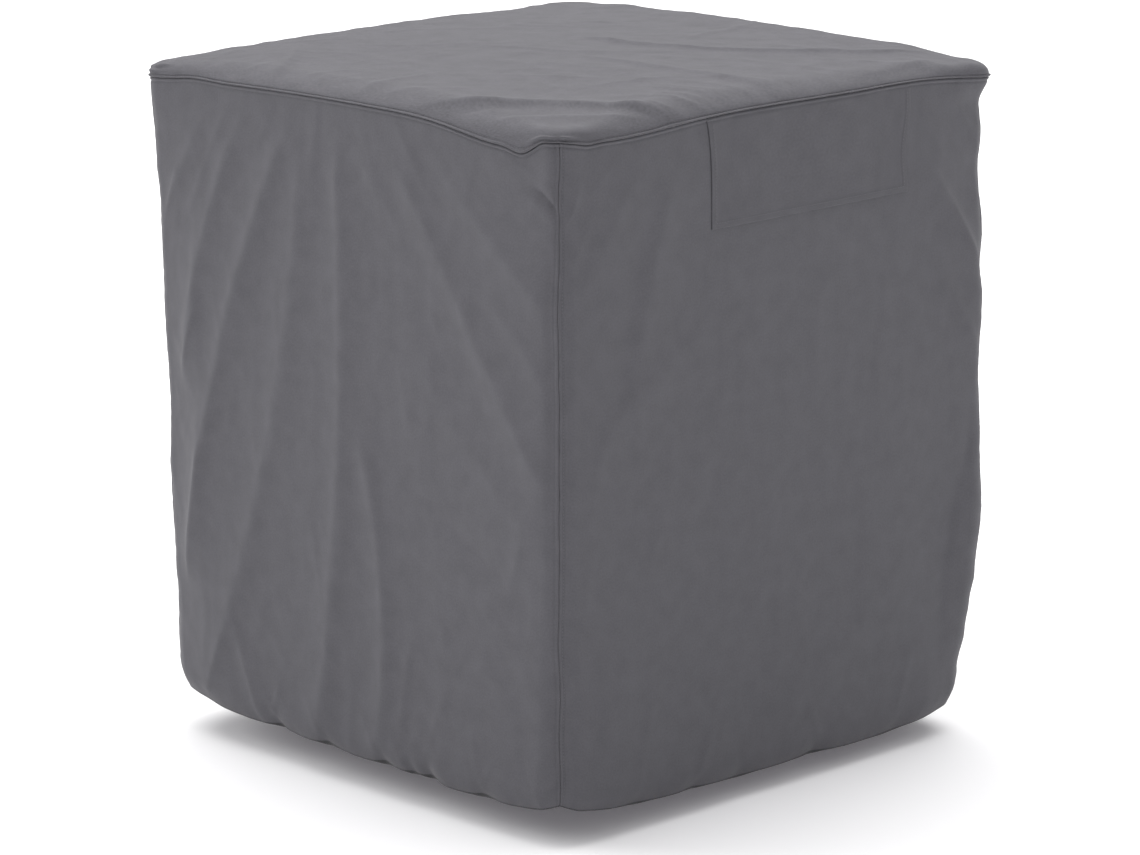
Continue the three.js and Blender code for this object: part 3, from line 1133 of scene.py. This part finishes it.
TOP_GATHERS = table(
    PlanFold,
    "x0 y0 x1 y1 x2 y2 rise left right crest fade",
    (312, -226, 342, -202, 364, -194, 2.6, 5, 3, CREST, 14),
    (318, -210, 345, -188, 364, -180, 2.6, 5, 3, CREST, 14),
    (324, -192, 347, -173, 364, -166, 2.4, 5, 3, CREST, 14),
) + table(
    gather,
    "x0 y0 x2 y2 rise half",
    (356, -126, 300, -158, 2.0, 4),
    (356, -106, 290, -136, 1.8, 4),
    (350, -88, 262, -118, 1.4, 5),
    (343, -78, 258, -106, 1.3, 6),
    (343, -44, 242, -72, 1.2, 6),
    (343, 2, 232, -26, 1.2, 7),
    (-109, 188, -136, 170, 1.6, 5),
    (23, -259, -60, -200, 1.2, 7),
    (-150, -120, -60, -20, 1.0, 9),
    (90, -190, 190, -120, 1.2, 8),
    (60, 0, 190, 70, 1.1, 8),
    (-260, -60, -170, 60, 1.0, 10),
    (160, -340, 212, -300, 1.6, 6),
    (186, -344, 238, -300, -1.4, 6),
    (60, -340, 120, -286, 1.2, 8),
    (-90, -338, -60, -262, 1.0, 9),
    (-260, -336, -292, -262, 1.2, 7),
    (-344, -258, -300, -206, 1.2, 7),
    (-120, 126, -196, 86, 1.2, 8),
    (120, 186, 226, 212, 1.4, 10),
    (40, -120, 170, -60, 0.8, 16),
    (-200, -40, -80, 30, 0.7, 18),
    (300, 120, 190, 86, 1.1, 10),
    (320, 220, 240, 160, 1.1, 9),
)


@dataclass
class TopPanel:
    """The top of the cover: a low dome whose rim bends down to the seam."""

    folds: tuple[PlanFold, ...]
    steps: int
    rim_steps: int

    def relief(self, x: float, y: float) -> float:
        """Height of the folds and the cloth's unevenness at (x, y)."""
        even = sum((k.soft(x, y) for k in TOP_SWELLS), sum(f.height(x, y) for f in self.folds))
        return even + sum(k.sharp(x, y) for k in TOP_LINES)

    def dome(self, x: float, y: float) -> float:
        """Height of the cloth at (x, y), apart from the rim's bend."""
        return CLOTH_TOP - CROWN * (x * x + y * y) / (HALF * HALF) + self.relief(x, y)

    def point(self, side: Side, t: float, half: float, bend: float, out: float = 0.0) -> Vector:
        """Point of the top panel.

        Args:
            side: The side that the point is nearest to.
            t: Place along that side, from -1 to 1.
            half: Half the width of the rounded square that the point lies on.
            bend: How far the rim has bent there, in radians.
            out: How far outside the cloth the point lies.

        Returns:
            The point in metres.
        """
        radius = TOP_RADIUS * half / HALF
        x, y, nx, ny = rounded_side(t * half_length(half, radius), half, radius)
        corner = side.left if t < 0 else side.right
        near_corner = smoothstep(abs(t), 1 - CORNER_BAND / HALF, 1) ** 2
        to_seam = rim_to_seam(bend, t)
        sewn = 0.0
        if bend > 0:
            sewn = seam_relief(to_seam, RIM_ROLL) + self.pinched(side, t, to_seam)
            sewn += seam_pucker(t * HALF, to_seam, PUCKER_RIM + side.turns)
        sewn += out
        outward = corner.waves[0].out * near_corner * math.sin(bend) + sewn * math.sin(bend)
        x, y = turned(x + nx * outward, -(y + ny * outward), side.turns)
        z = lerp(self.dome(x, y), side.seam_z(t), rim_bend(bend, t)[2]) + sewn * math.cos(bend)
        return Vector((x, y, z)) * MM

    def pinched(self, side: Side, t: float, to_seam: float) -> float:
        """Height of the rim's small pinches at a place along a side and a distance from its seam."""
        near = (k for k in PINCHES if k.node == side.node)
        return sum(k.rise * bump(t * HALF - k.s, k.half) * bump(to_seam - k.at, k.width) for k in near)

    def place(self, column: int, row: int) -> Vector:
        """Place of a grid point, which lies on a square ring and belongs to the nearest side.

        Args:
            column: Its column, from the left.
            row: Its row, from the back.

        Returns:
            The place in metres.
        """
        middle = self.steps // 2
        x = column - middle
        y = middle - row
        ring = max(abs(x), abs(y))
        if ring == 0:
            return Vector((0.0, 0.0, self.dome(0.0, 0.0) * MM))
        turns = 0
        if abs(y) < ring:
            turns = 1 if x > 0 else 3
        elif y > 0:
            turns = 2
        along = turned(x, y, 4 - turns)[0] / ring
        flat_rings = middle - self.rim_steps
        bend = math.pi / 2 * (1 - min(1.0, (middle - ring) / self.rim_steps) ** RIM_CROWD)
        t = lerp(along, along**3, -CROWD_CORNERS)
        half = rim_half(bend, t, min(ring, flat_rings) / flat_rings)
        return self.point(SIDES[turns], t, half, bend)

    def cut(self, column: int, row: int) -> tuple[float, float]:
        """Place of a grid point in the flat cloth, in metres."""
        step = (WIDTH + RIM_WIDTH) * MM / self.steps
        return column * step, -row * step

    def build(self) -> bpy.types.Object:
        """Builds the top's sheet."""
        return Sheet("cover_top", self.steps, self.steps, self.place, self.cut).build()


@dataclass
class VentFlap:
    """The flap that hangs from the top seam over the right side, with a folded hem round its three edges."""

    side: Side
    columns: int = 132
    rows: int = 56
    from_top: float = -130.0
    from_low: float = -121.5
    to_top: float = 206.0
    to_low: float = 200.0
    low_left: float = -152.0
    low_right: float = -149.0
    gap: float = 0.1
    lift: float = 1.2
    lift_left: float = 0.3
    hem: float = 9.0
    hem_rise: float = 0.45

    def at(self, a: float, b: float, out: float = 0.0) -> Vector:
        """Point of the flap.

        Args:
            a: Place across it, from 0 at the left edge to 1 at the right.
            b: Place down it, from 0 at the seam to 1 at the free edge.
            out: How far outside the flap's cloth the point lies.

        Returns:
            The point in metres.
        """
        left = lerp(self.from_low, self.from_top, (1 - b) ** 4)
        wave = FLAP_WAVE * math.sin(b * FLAP_WAVE_TURNS * math.pi) * smoothstep(a, FLAP_WAVE_FROM, 1)
        right = lerp(self.to_top, self.to_low, b) + wave
        s = lerp(left, right, a)
        t = s / half_length(HALF, TOP_RADIUS)
        top = self.side.seam_z(t)
        low = lerp(self.low_left, self.low_right, a)
        z = lerp(top, low, b)
        v = (top - z) / (top - self.side.hem_z(t))
        width = right - left
        to_edge = min(a * width, (1 - a) * width, (1 - b) * (top - low))
        hem = self.hem_rise * (1 - smoothstep(to_edge, self.hem - FLAP_HEM_STEP, self.hem))
        hem -= EDGE_ROUND * max(0.0, 1 - to_edge / EDGE_ROUND) ** 2
        lift = self.lift * lerp(self.lift_left, 1.0, smoothstep(a, 0, FLAP_CALM)) * b * b
        away = self.gap + lift + hem + FLAP_SWELL.soft(s, z) * smoothstep(b, 0, FLAP_CALM) + SHEET
        away *= smoothstep(top - z, 0, FLAP_SEAM)
        return self.side.placed(self.side.point(t, v, away + out))

    def place(self, column: int, row: int) -> Vector:
        """Place of a grid point."""
        across = crowded_share(column, self.columns)
        return self.at(across, crowded_share(row, self.rows))

    def cut(self, column: int, row: int) -> tuple[float, float]:
        """Place of a grid point in the flat cloth, in metres."""
        width = (self.to_top - self.from_top) * MM
        return column / self.columns * width, row / self.rows * self.low_left * MM

    def build(self) -> bpy.types.Object:
        """Builds the flap's sheet."""
        return Sheet("cover_flap", self.columns, self.rows, self.place, self.cut).build()


def crowded_share(index: int, count: int) -> float:
    """Place from 0 to 1 of a step, closer together near both ends."""
    share = index / count
    return share - FLAP_CROWD * math.sin(2 * math.pi * share) / (2 * math.pi)


@dataclass
class Stitching:
    """A row of lock stitches that lies along a path on the cloth."""

    name: str
    length: float = 3.1
    gap: float = 1.0
    width: float = 0.62
    height: float = 0.42

    def run(self, bm: bmesh.types.BMesh, path: Callable[[float, float], Vector], long: float) -> None:
        """Adds the stitches of one row.

        Args:
            bm: The mesh that takes them.
            path: Gives the point on the cloth at a share of the row, and at a distance outside it.
            long: The row's length in millimetres.
        """
        count = int(long / (self.length + self.gap))
        for i in range(count):
            start = (i + STITCH_INSET) / count
            end = (i + 1 - STITCH_INSET) / count
            middle = (start + end) / 2
            first = path(start, 0.0)
            last = path(end, 0.0)
            along = (last - first).normalized()
            outward = (path(middle, 1.0) - path(middle, 0.0)).normalized()
            across = outward.cross(along).normalized()
            outward = along.cross(across)
            turn = Matrix((along, across, outward)).transposed().to_4x4()
            sizes = (last - first).length / 2, self.width / 2 * MM, self.height / 2 * MM
            scale = Matrix.Diagonal((*sizes, 1.0))
            place = Matrix.Translation((first + last) / 2 + outward * self.height * MM / 4)
            bmesh.ops.create_icosphere(bm, subdivisions=1, radius=1.0, matrix=place @ turn @ scale)

    def build(self, rows: list[tuple[Callable[[float, float], Vector], float]]) -> bpy.types.Object:
        """Builds all rows as one piece.

        Args:
            rows: Each row's path and its length in millimetres.

        Returns:
            The stitches' object, at the origin.
        """
        bm = bmesh.new()
        for path, long in rows:
            self.run(bm, path, long)
        for face in bm.faces:
            face.smooth = True
        return linked(self.name, bm)


class NodeTree:
    """Small helpers that lay out the nodes of a material or a group."""

    def __init__(self, tree: bpy.types.NodeTree) -> None:
        """Starts on a tree without clearing it."""
        self.tree = tree

    def add(self, kind: str, **settings: object) -> bpy.types.Node:
        """Adds a node.

        Args:
            kind: The node's type.
            settings: Values of its own properties.

        Returns:
            The node.
        """
        node = self.tree.nodes.new(kind)
        for key, value in settings.items():
            setattr(node, key, value)
        return node

    def link(self, start: bpy.types.NodeSocket, end: bpy.types.NodeSocket) -> None:
        """Joins two sockets."""
        self.tree.links.new(start, end)

    def math(self, operation: str, first: object, second: object = 0.0) -> bpy.types.NodeSocket:
        """Adds a Math node.

        Args:
            operation: The node's operation.
            first: A number or a socket.
            second: A number or a socket.

        Returns:
            The node's output.
        """
        node = self.add("ShaderNodeMath", operation=operation)
        for socket, value in zip(node.inputs, (first, second)):
            if isinstance(value, bpy.types.NodeSocket):
                self.link(value, socket)
            else:
                socket.default_value = value
        return node.outputs[0]

    def about_half(self, value: bpy.types.NodeSocket, share: float) -> bpy.types.NodeSocket:
        """A share of how far a value from 0 to 1 lies from one half."""
        return self.math("MULTIPLY", self.math("SUBTRACT", value, 0.5), share)

    def noise(self, place: bpy.types.NodeSocket, scale: object, detail: float = 2.0) -> bpy.types.NodeSocket:
        """Adds a Noise Texture node.

        Args:
            place: The socket that gives its coordinates.
            scale: A number or a socket.
            detail: Its detail.

        Returns:
            The node's value.
        """
        speck = self.add("ShaderNodeTexNoise")
        speck.inputs["Detail"].default_value = detail
        self.link(place, speck.inputs["Vector"])
        if isinstance(scale, bpy.types.NodeSocket):
            self.link(scale, speck.inputs["Scale"])
        else:
            speck.inputs["Scale"].default_value = scale
        return speck.outputs["Fac"]

    def tinted(self, color: tuple[float, float, float], tone: bpy.types.NodeSocket) -> bpy.types.NodeSocket:
        """Makes a colour lighter or darker.

        Args:
            color: The colour.
            tone: The socket that gives the tone, round 1.

        Returns:
            The socket of the new colour.
        """
        scaled = self.add("ShaderNodeVectorMath", operation="SCALE")
        scaled.inputs[0].default_value = color
        self.link(tone, scaled.inputs["Scale"])
        return scaled.outputs["Vector"]


def new_material(name: str) -> tuple[bpy.types.Material, NodeTree, bpy.types.NodeInputs]:
    """Makes a material with nodes.

    Args:
        name: Its name.

    Returns:
        The material, its nodes, and the inputs of its Principled shader.
    """
    material = bpy.data.materials.new(name)
    material.use_nodes = True
    surface = material.node_tree.nodes["Principled BSDF"]
    return material, NodeTree(material.node_tree), surface.inputs


def new_group(name: str, inputs: dict[str, float], outputs: tuple[str, ...]) -> bpy.types.NodeTree:
    """Makes an empty shader node group with named sockets.

    Args:
        name: The group's name.
        inputs: Name and first value of each number that goes in, beside the vector Cloth.
        outputs: Name of each number that comes out.

    Returns:
        The group.
    """
    group = bpy.data.node_groups.new(name, "ShaderNodeTree")
    group.interface.new_socket("Cloth", in_out="INPUT", socket_type="NodeSocketVector")
    for key, value in inputs.items():
        socket = group.interface.new_socket(key, in_out="INPUT", socket_type="NodeSocketFloat")
        socket.default_value = value
    for key in outputs:
        group.interface.new_socket(key, in_out="OUTPUT", socket_type="NodeSocketFloat")
    return group


def weave_group() -> bpy.types.NodeTree:
    """Makes the plain weave, whose threads pass over and under each other.

    Returns:
        The group, which gives a height and a shade.
    """
    group = new_group("plain_weave", {"Pitch": 0.0007}, ("Height", "Shade"))
    nodes = NodeTree(group)
    ends = nodes.add("NodeGroupInput")
    split = nodes.add("ShaderNodeSeparateXYZ")
    nodes.link(ends.outputs["Cloth"], split.inputs[0])
    turn = nodes.math("DIVIDE", math.pi, ends.outputs["Pitch"])
    warp = nodes.math("SINE", nodes.math("MULTIPLY", split.outputs["X"], turn))
    weft = nodes.math("SINE", nodes.math("MULTIPLY", split.outputs["Y"], turn))
    over = nodes.math("MULTIPLY", warp, weft)
    height = nodes.math("ABSOLUTE", over)
    shade = nodes.math("MULTIPLY_ADD", over, 0.5)
    shade.node.inputs[2].default_value = 0.5
    out = nodes.add("NodeGroupOutput")
    nodes.link(height, out.inputs["Height"])
    nodes.link(shade, out.inputs["Shade"])
    return group


def heather_group() -> bpy.types.NodeTree:
    """Makes slight differences of tone between the yarns and over the cloth.

    Returns:
        The group, which gives both as shades round one half.
    """
    group = new_group("heather", {"Yarns": 430.0, "Clouds": 42.0}, ("Yarn", "Cloud"))
    nodes = NodeTree(group)
    ends = nodes.add("NodeGroupInput")
    out = nodes.add("NodeGroupOutput")
    for scale, detail, name in (("Yarns", 2.0, "Yarn"), ("Clouds", 4.0, "Cloud")):
        speck = nodes.noise(ends.outputs["Cloth"], ends.outputs[scale], detail)
        nodes.link(speck, out.inputs[name])
    return group


@dataclass(frozen=True)
class WovenPolyester:
    """The coated polyester of the cover: its colour and tones, its weave, its gloss and sheen, and painted
    shade on the hem's casing.
    """

    slot: Slot
    color: tuple[float, float, float]
    yarns: float = 430.0
    yarn_share: float = 0.42
    cloud_share: float = 0.30
    weave_share: float = 0.10
    # Painted shade: how much darker the hem's casing is made, standing for the shadow inside the hem's lips.
    casing_painted_shade: float = 0.0
    weave_depth: float = 0.00009
    weave_strength: float = 0.5
    yarn_height: float = 0.8
    roughness: float = 0.64
    roughness_spread: float = 0.16
    specular: float = 0.28
    sheen: float = 0.12
    sheen_roughness: float = 0.45

    def build(self, weave: bpy.types.NodeTree, heather: bpy.types.NodeTree) -> bpy.types.Material:
        """Builds the material.

        Args:
            weave: The group that gives the threads.
            heather: The group that gives the tones.

        Returns:
            The material, which reads the cloth's UV map.
        """
        material, nodes, surface = new_material(self.slot.value)
        cloth = nodes.add("ShaderNodeUVMap", uv_map=CUT_MAP).outputs["UV"]
        threads = nodes.add("ShaderNodeGroup", node_tree=weave)
        tones = nodes.add("ShaderNodeGroup", node_tree=heather)
        nodes.link(cloth, threads.inputs["Cloth"])
        nodes.link(cloth, tones.inputs["Cloth"])
        tones.inputs["Yarns"].default_value = self.yarns

        yarn = nodes.about_half(tones.outputs["Yarn"], self.yarn_share)
        cloud = nodes.about_half(tones.outputs["Cloud"], self.cloud_share)
        thread = nodes.about_half(threads.outputs["Shade"], self.weave_share)
        tone = nodes.math("ADD", nodes.math("ADD", nodes.math("ADD", yarn, cloud), thread), 1.0)
        place = nodes.add("ShaderNodeSeparateXYZ")
        nodes.link(cloth, place.inputs[0])
        # Painted shade: the casing, the cloth past the hem's edge in the cut, is darkened to stand for the
        # shadow inside the hem's lips.
        casing = nodes.math("LESS_THAN", place.outputs["Y"], -CUT_HEM * (1 + CUT_HEM_STEP / 4))
        shade = nodes.math("SUBTRACT", 1.0, nodes.math("MULTIPLY", casing, self.casing_painted_shade))
        nodes.link(nodes.tinted(self.color, nodes.math("MULTIPLY", tone, shade)), surface["Base Color"])

        spread = nodes.math("MULTIPLY", tones.outputs["Yarn"], self.roughness_spread)
        nodes.link(nodes.math("ADD", spread, self.roughness), surface["Roughness"])
        yarn_height = nodes.math("MULTIPLY", tones.outputs["Yarn"], self.yarn_height)
        relief = nodes.add("ShaderNodeBump")
        relief.inputs["Strength"].default_value = self.weave_strength
        relief.inputs["Distance"].default_value = self.weave_depth
        nodes.link(nodes.math("ADD", threads.outputs["Height"], yarn_height), relief.inputs["Height"])
        nodes.link(relief.outputs["Normal"], surface["Normal"])
        surface["Specular IOR Level"].default_value = self.specular
        surface["Sheen Weight"].default_value = self.sheen
        surface["Sheen Roughness"].default_value = self.sheen_roughness
        return material


@dataclass(frozen=True)
class Thread:
    """The sewing thread, smoother than the cloth and a little lighter, partly its own colour and partly a
    painted highlight along the seams.
    """

    # Lighter than the cloth: partly the thread's own colour and partly a painted highlight for the light
    # lines along the seams.
    color: tuple[float, float, float] = (0.125, 0.122, 0.134)
    twist: float = 1400.0
    tone_low: float = 0.8
    tone_spread: float = 0.4
    roughness: float = 0.55

    def build(self) -> bpy.types.Material:
        """Builds the material.

        Returns:
            The material, which reads Object coordinates.
        """
        material, nodes, surface = new_material("thread")
        place = nodes.add("ShaderNodeTexCoord").outputs["Object"]
        twist = nodes.math("MULTIPLY", nodes.noise(place, self.twist), self.tone_spread)
        tone = nodes.math("ADD", twist, self.tone_low)
        nodes.link(nodes.tinted(self.color, tone), surface["Base Color"])
        surface["Roughness"].default_value = self.roughness
        return material


# One cloth in three tones: the top is painted a little lighter and the flap a little darker than the sides,
# as painted light and shade for how the light falls on each.
FINISHES = (
    WovenPolyester(Slot.TOP, (0.0966, 0.0938, 0.1064), yarns=270.0, yarn_share=0.8, cloud_share=0.4),
    WovenPolyester(Slot.SIDE, (0.0938, 0.0911, 0.1033), casing_painted_shade=0.65),
    WovenPolyester(Slot.FLAP, (0.0905, 0.0878, 0.0998)),
)


@dataclass(frozen=True)
class Sun:
    """A soft even light: its direction from the cover, its strength, and the angle that it fills."""

    name: str
    towards: tuple[float, float, float]
    strength: float
    spread: float

    def build(self) -> None:
        """Adds the light."""
        light = bpy.data.lights.new(self.name, "SUN")
        light.energy = self.strength
        light.angle = math.radians(self.spread)
        lamp = bpy.data.objects.new(self.name, light)
        lamp.rotation_euler = Vector(self.towards).to_track_quat("Z", "Y").to_euler()
        bpy.context.scene.collection.objects.link(lamp)


@dataclass
class Studio:
    """A white floor, soft light from above and from the left, and the camera at the photograph's angle."""

    floor_z: float = -0.832
    floor_size: float = 80.0
    floor_color: tuple[float, float, float, float] = (0.94, 0.94, 0.94, 1.0)
    floor_glow: float = 0.11
    glow_color: tuple[float, float, float, float] = (0.95, 0.9, 1.0, 1.0)
    sky: float = 0.62
    sky_seen: float = 1.2
    suns: tuple[Sun, ...] = (
        Sun("top_light", (-0.26, 0.2, 0.95), strength=2.65, spread=70),
        Sun("key_light", (-0.72, -0.5, 0.48), strength=0.85, spread=30),
    )
    focal: float = PHOTO_FOCAL / PHOTO_WIDTH * FILM
    azimuth: float = 46.09
    elevation: float = 13.36
    distance: float = 5.308
    shift_right: float = 0.0027
    shift_up: float = -0.4123
    fit_z: float = -0.035

    def build(self) -> None:
        """Builds the floor, the sky, the lights and the camera."""
        self.floor()
        self.world()
        for sun in self.suns:
            sun.build()
        self.camera()
        bpy.context.scene.view_settings.view_transform = "Standard"

    def floor(self) -> None:
        """A wide white floor below the hem, which is not part of the object."""
        bm = bmesh.new()
        bmesh.ops.create_grid(bm, x_segments=1, y_segments=1, size=self.floor_size / 2)
        bmesh.ops.translate(bm, verts=bm.verts, vec=(0.0, 0.0, self.floor_z))
        floor = linked("floor", bm)
        material, nodes, surface = new_material("floor_white")
        seen = nodes.add("ShaderNodeLightPath").outputs["Is Camera Ray"]
        surface["Base Color"].default_value = self.floor_color
        surface["Emission Color"].default_value = self.glow_color
        nodes.link(nodes.math("MULTIPLY", seen, self.floor_glow), surface["Emission Strength"])
        surface["Roughness"].default_value = 1.0
        surface["Specular IOR Level"].default_value = 0.0
        floor.data.materials.append(material)

    def world(self) -> None:
        """An even sky, which the camera sees as white."""
        world = bpy.data.worlds.new("studio")
        bpy.context.scene.world = world
        world.use_nodes = True
        nodes = NodeTree(world.node_tree)
        sky = world.node_tree.nodes["Background"]
        sky.inputs["Color"].default_value = (1.0, 1.0, 1.0, 1.0)
        seen = nodes.add("ShaderNodeLightPath").outputs["Is Camera Ray"]
        share = nodes.math("MULTIPLY", seen, self.sky_seen - self.sky)
        nodes.link(nodes.math("ADD", share, self.sky), sky.inputs["Strength"])

    def camera(self) -> None:
        """Places the camera as the photograph's was."""
        turn = Euler((math.radians(90 - self.elevation), 0.0, math.radians(self.azimuth))).to_matrix()
        place = turn @ Vector((self.shift_right, self.shift_up, self.distance))
        data = bpy.data.cameras.new("camera")
        data.lens = self.focal
        data.sensor_width = FILM
        data.clip_end = 200.0
        camera = bpy.data.objects.new("camera", data)
        camera.location = place + Vector((0.0, 0.0, self.fit_z))
        camera.rotation_euler = turn.to_euler()
        bpy.context.scene.collection.objects.link(camera)
        bpy.context.scene.camera = camera


@dataclass
class Cover:
    """The whole cover: its sheets, their stitches, and the slot each is reported with."""

    sides: tuple[Side, ...] = SIDES
    top: TopPanel = field(default_factory=lambda: TopPanel(TOP_FOLDS + TOP_GATHERS, TOP_STEPS, RIM_STEPS))
    flap: VentFlap = field(default_factory=lambda: VentFlap(SIDES[1]))

    def build(self) -> None:
        """Builds and dresses every piece in order, and reports each."""
        weave = weave_group()
        heather = heather_group()
        cloth = {finish.slot: finish.build(weave, heather) for finish in FINISHES}
        thread = Thread().build()

        stitches = Stitching("top_stitches").build(list(self.top_rows()))
        self.settle(stitches, thread, Slot.TOP)
        top = self.top.build()
        self.settle(top, cloth[Slot.TOP], Slot.TOP)
        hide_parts("panel_top")

        for side in self.sides:
            shown = side.turns < SHOWN_SIDES
            columns = SIDE_COLUMNS if shown else HIDDEN_COLUMNS
            rows = SIDE_ROWS if shown else HIDDEN_ROWS
            seam = Stitching(side.node.replace("panel", "stitches")).build([self.corner_row(side)])
            self.settle(seam, thread, Slot.SIDE)
            panel = SidePanel(side, columns, rows).build()
            self.settle(panel, cloth[Slot.SIDE], Slot.SIDE)
            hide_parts(side.node)

        edge = Stitching("stitches_flap").build(list(self.flap_rows()))
        self.settle(edge, thread, Slot.FLAP)
        flap = self.flap.build()
        self.settle(flap, cloth[Slot.FLAP], Slot.FLAP)
        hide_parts("vent_flap")

    def settle(self, piece: bpy.types.Object, material: bpy.types.Material, slot: Slot) -> None:
        """Gives a piece its finish, its body and its slot, and reports it.

        Args:
            piece: The piece.
            material: Its finish.
            slot: The record's slot that the finish belongs to.
        """
        piece.data.materials.append(material)
        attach(piece, "root")
        log.info("%s: %d faces, %s", piece.name, len(piece.data.polygons), slot.value)

    def top_rows(self) -> Iterator[tuple[Callable[[float, float], Vector], float]]:
        """Lays out the rows of stitches on the top panel's rim, one for each side.

        Returns:
            Each row's path and its length in millimetres.
        """
        for side in self.sides:

            def path(share: float, out: float, side: Side = side) -> Vector:
                """Point of this side's row.

                Args:
                    share: Place along the row, from 0 to 1.
                    out: How far outside the cloth the point lies.
                    side: The side.

                Returns:
                    The point in metres.
                """
                t = 2 * share - 1
                bend = bend_beside_seam(STITCH_AT, t)
                return self.top.point(side, t, rim_half(bend, t), bend, out)

            yield path, 2 * half_length(HALF, TOP_RADIUS)

    def corner_row(self, side: Side) -> tuple[Callable[[float, float], Vector], float]:
        """The row of stitches down a side's left edge.

        Args:
            side: The side.

        Returns:
            The row's path and its length in millimetres.
        """
        t = -1 + STITCH_AT / half_length(HALF, TOP_RADIUS)

        def path(share: float, out: float) -> Vector:
            """Point of the row."""
            return side.placed(side.point(t, lerp(STITCH_FROM, STITCH_TO, share), out))

        return path, -side.left.hem * (STITCH_TO - STITCH_FROM)

    def flap_rows(self) -> Iterator[tuple[Callable[[float, float], Vector], float]]:
        """Lays out the rows of stitches round the flap's free edges.

        Returns:
            Each row's path and its length in millimetres.
        """
        inset = self.flap.hem - FLAP_STITCH_INSET
        width = self.flap.to_top - self.flap.from_top
        height = -self.flap.low_left
        a = inset / width
        b = 1 - inset / (height + SEAM_MID_Z)
        for edge in (a, 1 - a):

            def path(share: float, out: float, edge: float = edge) -> Vector:
                """Point of the row down this edge."""
                return self.flap.at(edge, lerp(FLAP_STITCH_FROM, b, share), out)

            yield path, height * FLAP_STITCH_DOWN
        yield lambda share, out: self.flap.at(lerp(a, 1 - a, share), b, out), width * FLAP_STITCH_ACROSS


def main() -> None:
    """Builds the studio and the cover."""
    logging.basicConfig(level=logging.INFO, format="%(name)s: %(message)s")
    Studio().build()
    Cover().build()


if __name__ == "__main__":
    main()
